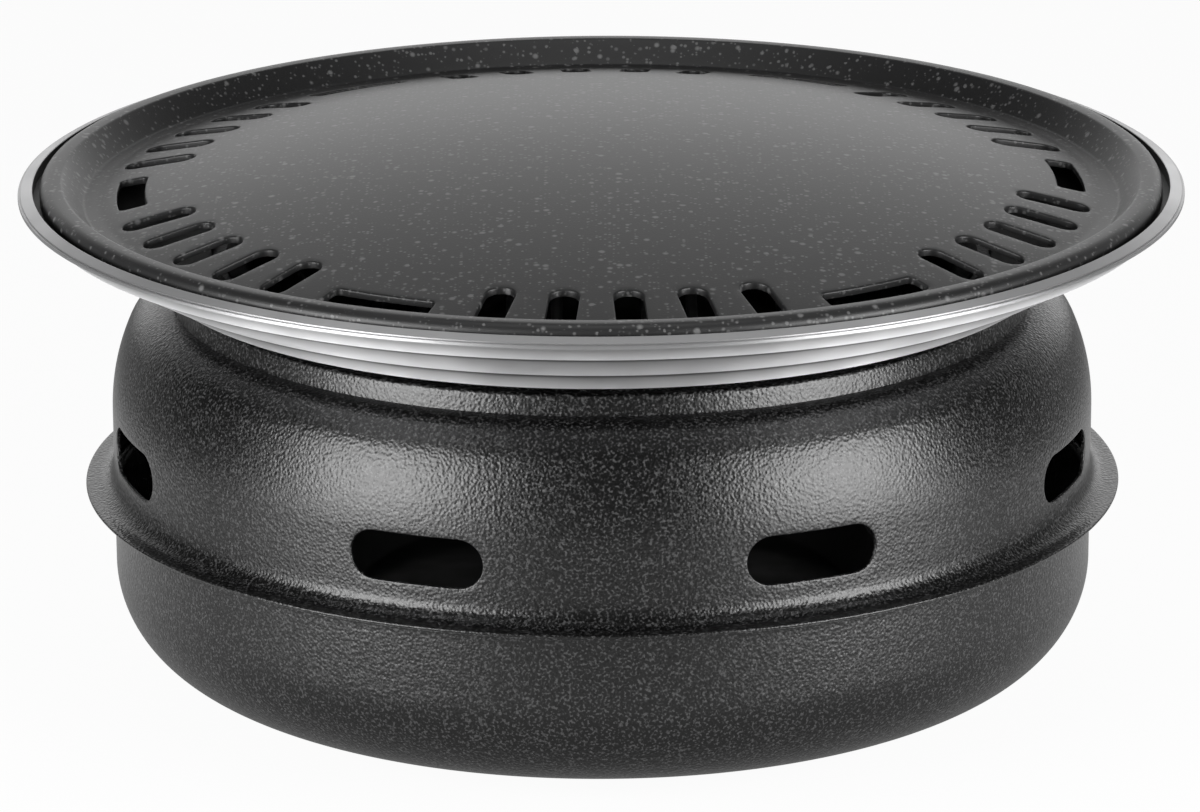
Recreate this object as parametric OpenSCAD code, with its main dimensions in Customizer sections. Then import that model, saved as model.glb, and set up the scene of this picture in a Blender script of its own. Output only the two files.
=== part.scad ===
// Korean tabletop charcoal grill: a pressed steel body with a brim and air vents, a charcoal
// bowl hung in its neck, a turned aluminium ring on its shoulder and a domed, slotted grill
// plate in the ring. Millimetres, +Z up, origin on the table under the grill's centre.
// The front, towards -Y, is the side that shows two vents.

/* [Body] */
// Thickness of the body's pressed steel sheet
sheet = 1; // [0.8:0.1:1.4]
// Outer radius of the body's wall
body_r = 148.4; // [146:0.2:151]
// Height of the base bowl, from its underside to the top of its flange
base_h = 54.6; // [50:0.2:60]
// Radius of the corner between the base bowl's floor and its wall
base_corner = 31; // [24:0.5:36]
// Height of the upper shell, from the flange to the top of its neck
shell_h = 68.9; // [66:0.1:74]
// Radius of the upper shell's shoulder
shoulder_r = 60; // [56:0.5:66]
// Height of the shoulder's curve
shoulder_h = 45; // [40:0.5:47]
// Width of the flat round the opening in the neck
neck_land = 19.7; // [17:0.1:23]
// Depth of the turned-down edge of the neck
collar_h = 6.5; // [4:0.5:9]
// Width of the brim beyond the wall
brim_w = 8.6; // [7.6:0.2:12]
// Radius of the bend from the wall into the brim
brim_bend = 5; // [3:0.5:6]
// How far the base bowl's flange stops short of the brim's edge
flange_inset = 1.4; // [0.6:0.1:1.5]
// Radius of the bend from the base bowl's wall into its flange
flange_bend = 2; // [1:0.5:3]

/* [Air vents] */
// Number of vents round the upper shell
vent_count = 8; // [4:1:10]
// Length of a vent round the shell
vent_w = 40.6; // [30:0.2:46]
// Height of a vent
vent_h = 14.5; // [10:0.5:18]
// Height of the vents' centres above the flange
vent_rise = 17.6; // [16:0.1:20]
// Bearing of the vent at the front right, from the front
vent_turn = 23.9; // [15:0.1:30]
// How far the left vent is punched round from its even place
vent_lag = 5; // [0:0.5:6]

/* [Aluminium ring] */
// Outer radius of the ring
ring_r = 175; // [160:0.5:195]
// Run inwards of each of the three turned bands, before they are fitted between edge and foot
ring_run = [7.1, 19.5, 13]; // [5:0.1:22]
// Fall of each of the three turned bands
ring_fall = [5.15, 10.35, 7.8]; // [4:0.1:12]
// Width of the ring's lower edge
ring_foot_w = 4.8; // [3:0.1:6]
// Step in from one band to the next
ring_step = 0.8; // [0.4:0.1:1]
// Height of the ring's outer edge
ring_edge = 1.1; // [0.8:0.1:2]
// Fall of the top lip towards the outer edge
ring_lip_fall = 1.2; // [0.6:0.1:2]
// Groove between the top lip and the outer edge
ring_groove = 0.4; // [0.2:0.1:0.6]
// Width of the lip round the recess
ring_lip_w = 4.4; // [3.4:0.1:6]
// Depth of the recess that takes the plate
ring_recess = 3.8; // [3:0.1:4.4]
// Width of the seat that carries the plate
ring_seat_w = 8.4; // [7:0.2:9]
// Wall of the ring, measured upright
ring_wall = 3.2; // [2.6:0.1:3.6]
// Thickness of the flange that stands on the body's neck
ring_foot_t = 3; // [2:0.2:4]
// How far the ring's lower edge hangs below the neck
ring_skirt = 1.7; // [1:0.1:2]

/* [Grill plate] */
// Thickness of the plate
plate_t = 2; // [1.6:0.1:3]
// Width of the rim's top
rim_w = 6.4; // [5:0.2:7]
// Height of the rim above its seat
rim_h = 6; // [5:0.2:8]
// Rounding of the rim's outer edge
rim_round = 3; // [1:0.2:4]
// Rounding of the rim's inner edge
rim_edge_r = 1.2; // [0.4:0.1:2]
// Depth of the gutter below the rim
plate_depth = 7.1; // [6:0.1:8]
// Run of the sloping wall inside the rim
wall_run = 6.6; // [5:0.2:8]
// Width of the flat gutter between the wall and the dome
gutter_w = 4.5; // [3.6:0.1:6]
// Rounding between the wall and the gutter
crease_r = 1.4; // [0.4:0.1:2.4]
// Rise of the dome above the gutter
dome_h = 16.5; // [14:0.1:18]
// Radius of the hollow curve at the dome's foot
dome_toe_r = 10; // [4:0.5:14]
// Turn of the plate from the front
plate_turn = 3.4; // [0:0.1:15]

/* [Plate slots] */
// Number of groups of radial slots
slot_groups = 6; // [4:1:6]
// Slots in a group
slots_each = 5; // [3:1:5]
// Angle between the slots of a group
slot_pitch = 8.05; // [7:0.05:8.4]
// Width of a radial slot
slot_w = 8.7; // [6:0.1:9]
// Length of a radial slot
slot_l = 21.9; // [18:0.1:24]
// Distance from the dome's foot to a radial slot's outer end
slot_inset = 3.4; // [2.4:0.1:5]
// Distance from the dome's foot to the outer side of a curved slot
arc_inset = 5.5; // [4:0.1:8]
// Width of a curved slot
arc_w = 8.3; // [6:0.1:9]
// Angle that a curved slot covers
arc_span = 13.4; // [10:0.1:15]

/* [Charcoal bowl] */
// Thickness of the bowl's sheet
fire_t = 1; // [0.8:0.1:1.4]
// Depth of the bowl below the neck
fire_depth = 60; // [54:1:64]
// How far the bowl's rim reaches over the neck
fire_rim = 5.1; // [4:0.1:8]
// Run of the bowl's wall from the neck in to the grate's step
fire_taper = 10.8; // [8:0.1:14]
// Width of the grate's step
fire_step_w = 9; // [6:0.5:12]
// Run of the bowl's wall from the step in to the floor
fire_floor_taper = 7; // [4:0.5:10]
// Height of the grate's step above the floor
fire_step_h = 24; // [18:0.5:30]
// Radius of the air holes
fire_hole_r = 4; // [3:0.2:5]
// Distance between the circles of air holes in the floor
fire_hole_pitch = 20; // [16:0.5:22]
// Number of air holes in the wall
fire_wall_holes = 16; // [8:1:20]

/* [Charcoal grate] */
// Height and width of the grate's hoop
grate_h = 4; // [3:0.2:5]
// Distance between the bars
grate_pitch = 14; // [12:0.5:18]

/* [Ash tray and heat shield] */
// Flare of the ash tray, from its floor to its rim
tray_flare = 6; // [3:0.5:8]
// Height of the ash tray
tray_h = 16; // [12:0.5:20]
// Thickness of the tray and of the shield
tray_t = 1; // [0.8:0.1:1.4]
// How far the heat shield reaches beyond its screws
shield_margin = 15; // [10:0.5:19]
// Height of the heat shield's turned-up edge
shield_lip = 4; // [2:0.5:6]
// Height of the spacers that hold the shield off the base
spacer_h = 12; // [8:0.5:16]
// Outer radius of a spacer
spacer_r = 5; // [4.4:0.1:6]

/* [Feet] */
// Distance of the feet in from the edge of the base bowl's flat floor
foot_inset = 20.4; // [18:0.1:24]
// Radius of a foot at the top
foot_r = 10; // [9:0.5:12]
// Height of a foot
foot_h = 6; // [5.4:0.1:8]
// Taper of a foot, top to bottom
foot_taper = 1; // [0:0.1:1.5]
// Radius of the screws' shank
screw_r = 2.5; // [2:0.1:2.8]
// Radius of the screws' head
screw_head_r = 4.5; // [4:0.1:5]
// Height of the screws' head
screw_head_h = 2.8; // [2:0.1:3]
// How far the screws stand out of the nuts
screw_proud = 1.5; // [0.5:0.1:3]
// Radius of a washer
washer_r = 5.2; // [4.6:0.1:5.5]
// Thickness of a washer
washer_t = 1; // [0.6:0.1:1.2]
// Width of a nut across its flats
nut_af = 8; // [7:0.1:9]
// Height of a nut
nut_h = 4; // [3:0.1:5]

/* [Clearances] */
// Round gap between the plate and the ring's recess
plate_gap = 2.2; // [1:0.1:2.6]
// Gap between the ring's lower edge and the shoulder
skirt_gap = 0.7; // [0.4:0.1:1.5]
// Gap between the charcoal bowl's rim and the ring
rim_gap = 4; // [2:0.1:5]
// Gap between the charcoal bowl and the neck
neck_gap = 0.6; // [0.4:0.1:1.5]
// Gap round the charcoal grate
grate_gap = 0.6; // [0.3:0.1:1.5]
// Gap between the ash tray's floor and the shield's washers
tray_gap = 13.8; // [10:0.1:18]
// Gap round a screw in a hole
screw_gap = 0.3; // [0.2:0.1:0.5]
// Gap round a screw in its nut
thread_gap = 0.1; // [0.05:0.05:0.2]
// Gap round the screw heads and washers in the feet
head_gap = 0.8; // [0.3:0.1:1]

/* [Hidden] */
$fn = 180;

// Cutting tools reach this far past what they cut
past = 5;
foot_count = 4;
fine = 720;

// Heights of the body, upwards from the table
base_z = foot_h;
flange_z = base_z + base_h;
neck_z = flange_z + shell_h;
shoulder_z = neck_z - shoulder_h;
vent_z = flange_z + vent_rise;
brim_r = body_r + brim_w;

// The shoulder's outer radius at a height, and the neck that ends it
function shoulder_at(z) = body_r - shoulder_r + sqrt(shoulder_r * shoulder_r - pow(z - shoulder_z, 2));
neck_r = shoulder_at(neck_z) - neck_land;

// The ring stands on the neck, and its bands are fitted between its outer edge and its foot
ring_bottom_z = neck_z - ring_skirt;
ring_skirt_r = shoulder_at(ring_bottom_z) + skirt_gap;
ring_low_r = ring_skirt_r + ring_foot_w;
ring_fit = (ring_r - ring_low_r) / (ring_run[0] + ring_run[1] + ring_run[2]);
band_run = ring_fit * ring_run;
ring_end_r = [ring_r - band_run[0], ring_low_r + band_run[2], ring_low_r];
ring_end_z = [ring_bottom_z + ring_fall[2] + ring_fall[1], ring_bottom_z + ring_fall[2], ring_bottom_z];
ring_edge_z = ring_end_z[0] + ring_fall[0];
ring_top_z = ring_edge_z + ring_edge + ring_groove + ring_lip_fall;
recess_r = ring_r - ring_lip_w;
plate_seat_z = ring_top_z - ring_recess;
seat_in_r = recess_r - ring_seat_w;
ring_bore_r = neck_r + fire_rim + rim_gap;
ring_foot_z = neck_z + ring_foot_t;

// Height of the inner face of a band, at a distance from the axis
function band_slope(i) = ring_fall[i] / (band_run[i] - ring_step);
function inner_face(i, r) = ring_end_z[i] + ring_wall + (r - ring_end_r[i]) * band_slope(i);

// The plate lies on the ring's seat
plate_r = recess_r - plate_gap;
rim_z = plate_seat_z + rim_h;
gutter_z = rim_z - plate_depth;
under_z = gutter_z - plate_t;
plate_low_z = under_z - past;
rim_in_r = plate_r - rim_w;
gutter_r = rim_in_r - wall_run;
dome_r = gutter_r - gutter_w;
dome_z = gutter_z + dome_h;
dome_curve = (dome_r * dome_r + dome_h * dome_h) / (2 * dome_h);
toe_curve = dome_curve + dome_toe_r;
toe_mid_r = sqrt(dome_h * (2 * toe_curve - dome_h));
toe_r = toe_mid_r * dome_curve / toe_curve;
toe_z = gutter_z + dome_toe_r * dome_h / toe_curve;
wall_len = norm([wall_run, plate_depth]);
wall_under_r = gutter_r + plate_t * (wall_len - wall_run) / plate_depth;
seat_under_r = wall_under_r + (plate_seat_z - under_z) * wall_run / plate_depth;
group_angle = 360 / slot_groups;
slot_mid = dome_r - slot_inset - slot_l / 2;
arc_out = dome_r - arc_inset;

// The charcoal bowl hangs in the neck
fire_z = neck_z - fire_depth;
fire_neck_r = neck_r - neck_gap;
fire_upper_r = fire_neck_r - fire_taper;
fire_lower_r = fire_upper_r - fire_step_w;
fire_floor_r = fire_lower_r - fire_floor_taper;
step_z = fire_z + fire_step_h;
grate_z = step_z + fire_t;
grate_r = fire_upper_r - fire_t - grate_gap;
wall_hole_z = (grate_z + neck_z - collar_h) / 2;

// The stack that each foot's screw holds, and the tray that lies inside the four of them
foot_pcd_r = body_r - base_corner - foot_inset;
shield_r = foot_pcd_r + shield_margin;
tray_floor_r = foot_pcd_r - washer_r - tray_gap;
tray_r = tray_floor_r + tray_flare;
floor_z = base_z + sheet;
shield_z = floor_z + spacer_h;
shield_top_z = shield_z + tray_t;
nut_z = shield_top_z + washer_t;
screw_top_z = nut_z + nut_h + screw_proud;
head_recess_h = screw_head_h + washer_t;
head_recess_z = base_z - (foot_h - head_recess_h) / 2;
screw_hole_r = screw_r + screw_gap;

// A rounded corner at p, between a and b: where it leaves each side, and the centre of its curve
function corner_half(a, p, b) = acos((a - p) * (b - p) / norm(a - p) / norm(b - p)) / 2;
function corner_end(a, p, b, r) = p + (a - p) / norm(a - p) * r / tan(corner_half(a, p, b));
function corner_mid(a, p, b, r) = let(way = (a - p) / norm(a - p) + (b - p) / norm(b - p))
    p + way / norm(way) * r / sin(corner_half(a, p, b));

// A flat shape with round ends
module obround(length, width) {
    square([length - width, width], center = true);
    for (side = [-1, 1]) translate([side * (length - width) / 2, 0]) circle(width / 2);
}

// Half section of a round pan, with a rounded corner below
module pan_section(r, h, corner) {
    translate([0, corner]) square([r, h - corner]);
    square([r - corner, corner]);
    intersection() {
        translate([r - corner, corner]) circle(corner);
        square([r, corner]);
    }
}

// The corner that a bend of radius r fills between a wall and a flange
module bend_fill(r) {
    difference() {
        square(r);
        translate([r, r]) circle(r);
    }
}

// Half section of a body with a round shoulder and a flat top
module shoulder_section(inset) {
    r = body_r - inset;
    curve = shoulder_r - inset;
    translate([0, flange_z]) square([r, shoulder_z - flange_z]);
    translate([0, flange_z]) square([r - curve, neck_z - inset - flange_z]);
    intersection() {
        translate([r - curve, shoulder_z]) circle(curve);
        translate([0, shoulder_z]) square([r, shoulder_h - inset]);
    }
}

// Places one copy of a piece on each foot's axis
module at_feet() {
    for (i = [0 : foot_count - 1]) at_foot(i) children();
}

module at_foot(i) {
    rotate(45 + i * 360 / foot_count) translate([foot_pcd_r, 0, 0]) children();
}

module tube(r, bore, h) {
    difference() {
        cylinder(r = r, h = h);
        translate([0, 0, -past]) cylinder(r = bore, h = h + 2 * past);
    }
}

// The lower half of the body, with a flat flange on which the upper shell is spot-welded
module base_bowl() {
    bend_r = body_r + flange_bend;
    bend_z = flange_z - sheet - flange_bend;
    color("dimgray") difference() {
        rotate_extrude() {
            difference() {
                union() {
                    translate([0, base_z]) pan_section(body_r, base_h, base_corner);
                    translate([body_r - sheet, flange_z - sheet])
                        square([brim_w - flange_inset + sheet, sheet]);
                    translate([body_r, flange_z - sheet]) mirror([0, 1]) bend_fill(flange_bend);
                }
                translate([0, floor_z]) pan_section(body_r - sheet, base_h, base_corner - sheet);
                translate([body_r - sheet, flange_z]) mirror([0, 1]) bend_fill(flange_bend + sheet);
            }
        }
        at_feet() translate([0, 0, base_z - past]) cylinder(r = screw_hole_r, h = sheet + 2 * past);
    }
}

// The upper half of the body: brim, wall with vents, round shoulder and neck
module upper_shell() {
    color("dimgray") difference() {
        rotate_extrude() {
            difference() {
                union() {
                    shoulder_section(0);
                    translate([0, flange_z]) square([brim_r, sheet]);
                    translate([body_r, flange_z + sheet]) bend_fill(brim_bend);
                }
                difference() {
                    shoulder_section(sheet);
                    translate([neck_r, neck_z - collar_h]) square([sheet, collar_h]);
                }
                translate([0, neck_z - 2 * sheet]) square([neck_r, 3 * sheet]);
                translate([body_r - sheet, flange_z]) bend_fill(brim_bend + sheet);
            }
        }
        for (i = [0 : vent_count - 1]) vent_cut(i);
    }
}

// Vents are counted from the front right towards the right; the last but one is at the left
module vent_cut(i) {
    bearing = vent_turn + i * 360 / vent_count - (i == vent_count - 2 ? vent_lag : 0);
    rotate(bearing) translate([0, -body_r + 2 * past, vent_z]) rotate([90, 0, 0])
        linear_extrude(4 * past) obround(vent_w, vent_h);
}

// The turned ring: stepped bands outside, a seat for the plate inside, a flange on the neck
module support_ring() {
    groove_r = ring_r - ring_step;
    groove_z = ring_edge_z + ring_edge;
    color("silver") rotate_extrude() polygon([
        [recess_r, ring_top_z],
        [groove_r, groove_z + ring_groove],
        [groove_r, groove_z],
        [ring_r, groove_z],
        [ring_r, ring_edge_z],
        [ring_r - ring_step, ring_edge_z],
        [ring_end_r[0], ring_end_z[0]],
        [ring_end_r[0] - ring_step, ring_end_z[0]],
        [ring_end_r[1], ring_end_z[1]],
        [ring_end_r[1] - ring_step, ring_end_z[1]],
        [ring_end_r[2], ring_end_z[2]],
        [ring_skirt_r, ring_bottom_z],
        [ring_skirt_r, neck_z],
        [ring_bore_r, neck_z],
        [ring_bore_r, ring_foot_z],
        [ring_end_r[2] + (ring_foot_z - inner_face(2, ring_end_r[2])) / band_slope(2), ring_foot_z],
        [ring_end_r[1], inner_face(1, ring_end_r[1])],
        [seat_in_r, inner_face(1, seat_in_r)],
        [seat_in_r, plate_seat_z],
        [recess_r, plate_seat_z]
    ]);
}

// The cast plate: rim, gutter and broad dome, with slots through the dome's side
module grill_plate() {
    color([0.22, 0.22, 0.23]) rotate(plate_turn) difference() {
        rotate_extrude() plate_section();
        for (group = [0 : slot_groups - 1]) rotate(group * group_angle) slot_group();
    }
}

// Half section of the plate: what lies under its face, less what lies under its back
module plate_section() {
    round_end = [plate_r - rim_round, rim_z];
    rim_in = [rim_in_r, rim_z];
    gutter_out = [gutter_r, gutter_z];
    gutter_in = [toe_mid_r, gutter_z];
    rim_edge = [[plate_r, plate_low_z], [plate_r, rim_z - rim_round], round_end,
        corner_end(round_end, rim_in, gutter_out, rim_edge_r),
        corner_end(gutter_out, rim_in, round_end, rim_edge_r),
        corner_end(rim_in, gutter_out, gutter_in, crease_r),
        corner_end(gutter_in, gutter_out, rim_in, crease_r)];
    back_edge = [[plate_r + past, plate_low_z - past], [plate_r + past, plate_seat_z + plate_t],
        [seat_under_r, plate_seat_z + plate_t], [wall_under_r, gutter_z]];
    difference() {
        union() {
            under_dome(rim_edge);
            translate([plate_r - rim_round, rim_z - rim_round]) circle(rim_round);
            translate(corner_mid(round_end, rim_in, gutter_out, rim_edge_r)) circle(rim_edge_r);
        }
        translate(corner_mid(rim_in, gutter_out, gutter_in, crease_r)) circle(crease_r);
        translate([0, -plate_t]) under_dome(back_edge);
    }
}

// What lies under the dome and inside an outer edge, given from its lowest point to the gutter
module under_dome(edge) {
    difference() {
        union() {
            polygon(concat([[0, edge[0][1]]], edge, [[toe_mid_r, gutter_z], [toe_r, toe_z], [0, toe_z]]));
            intersection() {
                translate([0, dome_z - dome_curve]) circle(dome_curve, $fn = fine);
                translate([0, toe_z - past]) square([toe_r, dome_z - toe_z + past]);
            }
        }
        intersection() {
            translate([toe_mid_r, gutter_z + dome_toe_r]) circle(dome_toe_r, $fn = fine);
            translate([toe_r, gutter_z]) square([toe_mid_r - toe_r, toe_z - gutter_z + past]);
        }
    }
}

// A fan of radial slots towards the front, and the curved slot beside it
module slot_group() {
    mid = (slots_each - 1) / 2;
    translate([0, 0, plate_low_z]) linear_extrude(dome_z - plate_low_z) {
        for (i = [0 : slots_each - 1]) rotate((i - mid) * slot_pitch - 90)
            translate([slot_mid, 0]) obround(slot_l, slot_w);
        rotate(group_angle / 2 - 90) curved_slot();
    }
}

module curved_slot() {
    reach = plate_r / cos(arc_span / 2);
    intersection() {
        difference() {
            circle(arc_out);
            circle(arc_out - arc_w);
        }
        polygon([[0, 0], reach * [cos(arc_span / 2), -sin(arc_span / 2)],
            reach * [cos(arc_span / 2), sin(arc_span / 2)]]);
    }
}

// The charcoal bowl, hung by its rim, with a step for the grate and air holes
module fire_bowl() {
    rings = floor((fire_floor_r - 2 * fire_hole_r) / fire_hole_pitch);
    wall_r = (fire_upper_r + fire_neck_r) / 2;
    color("gray") difference() {
        rotate_extrude() difference() {
            union() {
                fire_section(0);
                translate([0, neck_z]) square([neck_r + fire_rim, fire_t]);
            }
            fire_section(fire_t);
        }
        for (ring = [0 : rings]) for (i = [0 : max(1, 6 * ring) - 1])
            rotate(i * 360 / max(1, 6 * ring)) translate([ring * fire_hole_pitch, 0, fire_z - past])
                cylinder(r = fire_hole_r, h = fire_t + 2 * past);
        for (i = [0 : fire_wall_holes - 1]) rotate(i * 360 / fire_wall_holes)
            translate([wall_r - 2 * past, 0, wall_hole_z]) rotate([0, 90, 0])
                cylinder(r = fire_hole_r, h = 4 * past);
    }
}

module fire_section(inset) {
    polygon([[0, fire_z + inset], [fire_floor_r - inset, fire_z + inset],
        [fire_lower_r - inset, step_z + inset], [fire_upper_r - inset, step_z + inset],
        [fire_neck_r - inset, neck_z], [fire_neck_r - inset, neck_z + inset], [0, neck_z + inset]]);
}

// The grate's hoop lies on the step of the charcoal bowl; its bars end in the hoop
module charcoal_grate() {
    bar_r = grate_h / 2;
    mid_r = grate_r - bar_r;
    bars = floor((mid_r - grate_h) / grate_pitch);
    color("darkgray") translate([0, 0, grate_z]) {
        tube(grate_r, grate_r - grate_h, grate_h);
        for (i = [-bars : bars]) grate_bar(i * grate_pitch, mid_r, bar_r);
        rotate(90) grate_bar(0, mid_r, bar_r);
    }
}

module grate_bar(x, mid_r, bar_r) {
    half = sqrt(mid_r * mid_r - x * x);
    translate([x, half, bar_r]) rotate([90, 0, 0]) cylinder(r = bar_r * 0.9, h = 2 * half);
}

// A shallow tray for the ash, loose on the heat shield
module ash_tray() {
    color("gray") translate([0, 0, shield_top_z]) difference() {
        cylinder(r1 = tray_floor_r, r2 = tray_r, h = tray_h);
        translate([0, 0, tray_t]) cylinder(r1 = tray_floor_r - tray_t, r2 = tray_r - tray_t, h = tray_h);
    }
}

// The shield that keeps the fire's heat off the base and the table
module heat_shield() {
    color("lightgray") difference() {
        translate([0, 0, shield_z]) cylinder(r = shield_r, h = tray_t + shield_lip);
        translate([0, 0, shield_top_z]) cylinder(r = shield_r - tray_t, h = shield_lip + past);
        at_feet() translate([0, 0, shield_z - past]) cylinder(r = screw_hole_r, h = tray_t + 2 * past);
    }
}

module foot(i) {
    color([0.1, 0.1, 0.1]) at_foot(i) difference() {
        cylinder(r1 = foot_r - foot_taper, r2 = foot_r, h = foot_h);
        translate([0, 0, -past]) cylinder(r = screw_hole_r, h = foot_h + 2 * past);
        translate([0, 0, -past]) cylinder(r = washer_r + head_gap, h = past + head_recess_z);
    }
}

module spacer(i) {
    color("lightgray") at_foot(i) translate([0, 0, floor_z]) tube(spacer_r, screw_hole_r, spacer_h);
}

// Pan-head screws, up through the feet, the base, the spacers and the shield
module foot_screws() {
    head_z = head_recess_z - washer_t;
    color("silver") at_feet() {
        translate([0, 0, head_z - screw_head_h]) cylinder(r = screw_head_r, h = screw_head_h);
        translate([0, 0, head_z - past / 10]) cylinder(r = screw_r, h = screw_top_z - head_z + past / 10);
    }
}

module foot_washers() {
    color("silver") at_feet() translate([0, 0, head_recess_z - washer_t])
        tube(washer_r, screw_hole_r, washer_t);
}

module shield_washers() {
    color("silver") at_feet() translate([0, 0, shield_top_z]) tube(washer_r, screw_hole_r, washer_t);
}

module shield_nuts() {
    color("silver") at_feet() translate([0, 0, nut_z]) difference() {
        cylinder(r = nut_af / 2 / cos(30), h = nut_h, $fn = 6);
        translate([0, 0, -past]) cylinder(r = screw_r + thread_gap, h = nut_h + 2 * past);
    }
}

base_bowl();
upper_shell();
support_ring();
grill_plate();
fire_bowl();
charcoal_grate();
ash_tray();
heat_shield();
foot(0);  // foot_1
foot(1);  // foot_2
foot(2);  // foot_3
foot(3);  // foot_4
spacer(0);  // spacer_1
spacer(1);  // spacer_2
spacer(2);  // spacer_3
spacer(3);  // spacer_4
foot_screws();
foot_washers();
shield_washers();
shield_nuts();
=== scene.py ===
import bisect
import math

import bmesh
import bpy
from bpy.props import FloatProperty, FloatVectorProperty, IntProperty, PointerProperty
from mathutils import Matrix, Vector
from mathutils.geometry import delaunay_2d_cdt


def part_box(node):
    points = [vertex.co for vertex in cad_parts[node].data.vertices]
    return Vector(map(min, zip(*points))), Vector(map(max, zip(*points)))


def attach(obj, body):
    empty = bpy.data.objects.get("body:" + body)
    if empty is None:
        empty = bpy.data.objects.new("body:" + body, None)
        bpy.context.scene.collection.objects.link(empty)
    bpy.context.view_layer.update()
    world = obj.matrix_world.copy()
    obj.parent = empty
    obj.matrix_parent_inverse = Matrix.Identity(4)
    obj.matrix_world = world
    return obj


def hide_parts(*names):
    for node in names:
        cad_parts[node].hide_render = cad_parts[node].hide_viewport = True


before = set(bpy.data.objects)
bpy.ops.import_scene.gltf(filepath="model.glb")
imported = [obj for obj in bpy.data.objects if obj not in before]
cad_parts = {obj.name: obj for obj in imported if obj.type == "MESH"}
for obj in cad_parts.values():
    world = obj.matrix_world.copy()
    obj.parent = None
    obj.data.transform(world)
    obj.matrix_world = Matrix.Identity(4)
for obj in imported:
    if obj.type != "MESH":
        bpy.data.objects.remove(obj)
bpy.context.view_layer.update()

bl_info = {
    "name": "Tabletop Charcoal Grill",
    "version": (1, 0, 0),
    "blender": (4, 5, 0),
    "location": "View3D > Sidebar > Grill",
    "description": "Builds the looks of a tabletop charcoal grill on its CAD frame",
    "category": "Object",
}

FULL_TURN = 2 * math.pi
NEAR = 1e-6
MILLIMETRES = 1000
CURVE_STEP = 0.0015
SHARP_ANGLE = math.radians(38)
LATHE_SEGMENTS = 360
INNER_SEGMENTS = 180
SMALL_SEGMENTS = 48
HOLE_SEGMENTS = 24
BAR_SEGMENTS = 16
DRILL_SHEETS = 8


# What the frame tells about the pieces

def bottom(node):
    """Height of a CAD node's lowest point."""
    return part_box(node)[0].z


def top(node):
    """Height of a CAD node's highest point."""
    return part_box(node)[1].z


def widest(node):
    """Largest distance of a round CAD node from the grill's axis."""
    low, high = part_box(node)
    return max(high.x, high.y, -low.x, -low.y)


def foot_place():
    """Distance of the feet from the axis, and the bearing of the first."""
    low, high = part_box("foot_1")
    centre = (low + high) / 2
    return math.hypot(centre.x, centre.y), math.atan2(centre.y, centre.x)


# Properties that a user would change

def length(name, text, value):
    """A length in metres."""
    return FloatProperty(name=name, description=text, default=value, min=0.0, precision=5, unit="LENGTH")


def angle(name, text, degrees):
    """An angle, given in degrees."""
    return FloatProperty(name=name, description=text, default=math.radians(degrees), subtype="ANGLE")


def number(name, text, value):
    """A count of like features."""
    return IntProperty(name=name, description=text, default=value, min=1)


def colour(name, text, value):
    """A base colour."""
    return FloatVectorProperty(
        name=name, description=text, default=value, size=3, min=0.0, max=1.0, subtype="COLOR"
    )


class BodySizes(bpy.types.PropertyGroup):
    """Sizes of the pressed body: base bowl and upper shell"""

    sheet: length("Sheet", "Thickness of the pressed steel", 0.001)
    wall_r: length("Wall radius", "Outer radius of the body's wall", 0.1484)
    base_corner: length("Base corner", "Radius between the base's floor and its wall", 0.031)
    shoulder_r: length("Shoulder radius", "Radius of the shell's shoulder", 0.060)
    shoulder_h: length("Shoulder height", "Height of the shoulder's curve", 0.045)
    crest_r: length("Crest radius", "Radius of the shoulder's crest at the foot of the neck", 0.015)
    neck_land: length("Neck land", "Width of the flat round the neck's opening", 0.0197)
    neck_wall_r: length("Neck wall", "Radius of the wall that lifts the neck above the shoulder", 0.1295)
    neck_taper: length("Neck taper", "How much the neck wall narrows upwards", 0.001)
    neck_step: length("Neck step", "Step in from the neck wall to the neck's top", 0.0035)
    neck_ledge: length("Neck ledge", "Depth of that step below the neck's top", 0.0055)
    neck_bend: length("Neck bend", "Rounding of the neck's bends", 0.0014)
    collar_h: length("Collar", "Depth of the neck's turned-down edge", 0.0065)
    collar_bend: length("Collar bend", "Rounding of the neck's edge", 0.0016)
    brim_bend: length("Brim bend", "Radius of the bend from the wall into the brim", 0.005)
    flange_bend: length("Flange bend", "Radius of the bend into the base's flange", 0.002)
    edge: length("Sheet edge", "Rounding of the painted sheet's edges", 0.0004)
    grid: length("Mesh spacing", "Distance between the shell's mesh points", 0.0024)


class VentSizes(bpy.types.PropertyGroup):
    """Sizes of the air vents in the upper shell"""

    count: number("Vents", "Number of vents round the shell", 8)
    width: length("Width", "Length of a vent round the shell", 0.0406)
    height: length("Height", "Height of a vent", 0.0145)
    rise: length("Rise", "Height of the vents' centres above the flange", 0.0176)
    turn: angle("Turn", "Bearing of the vent at the front right", 23.9)
    lag: angle("Lag", "How far the left vent is off its even place", 5.0)


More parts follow.
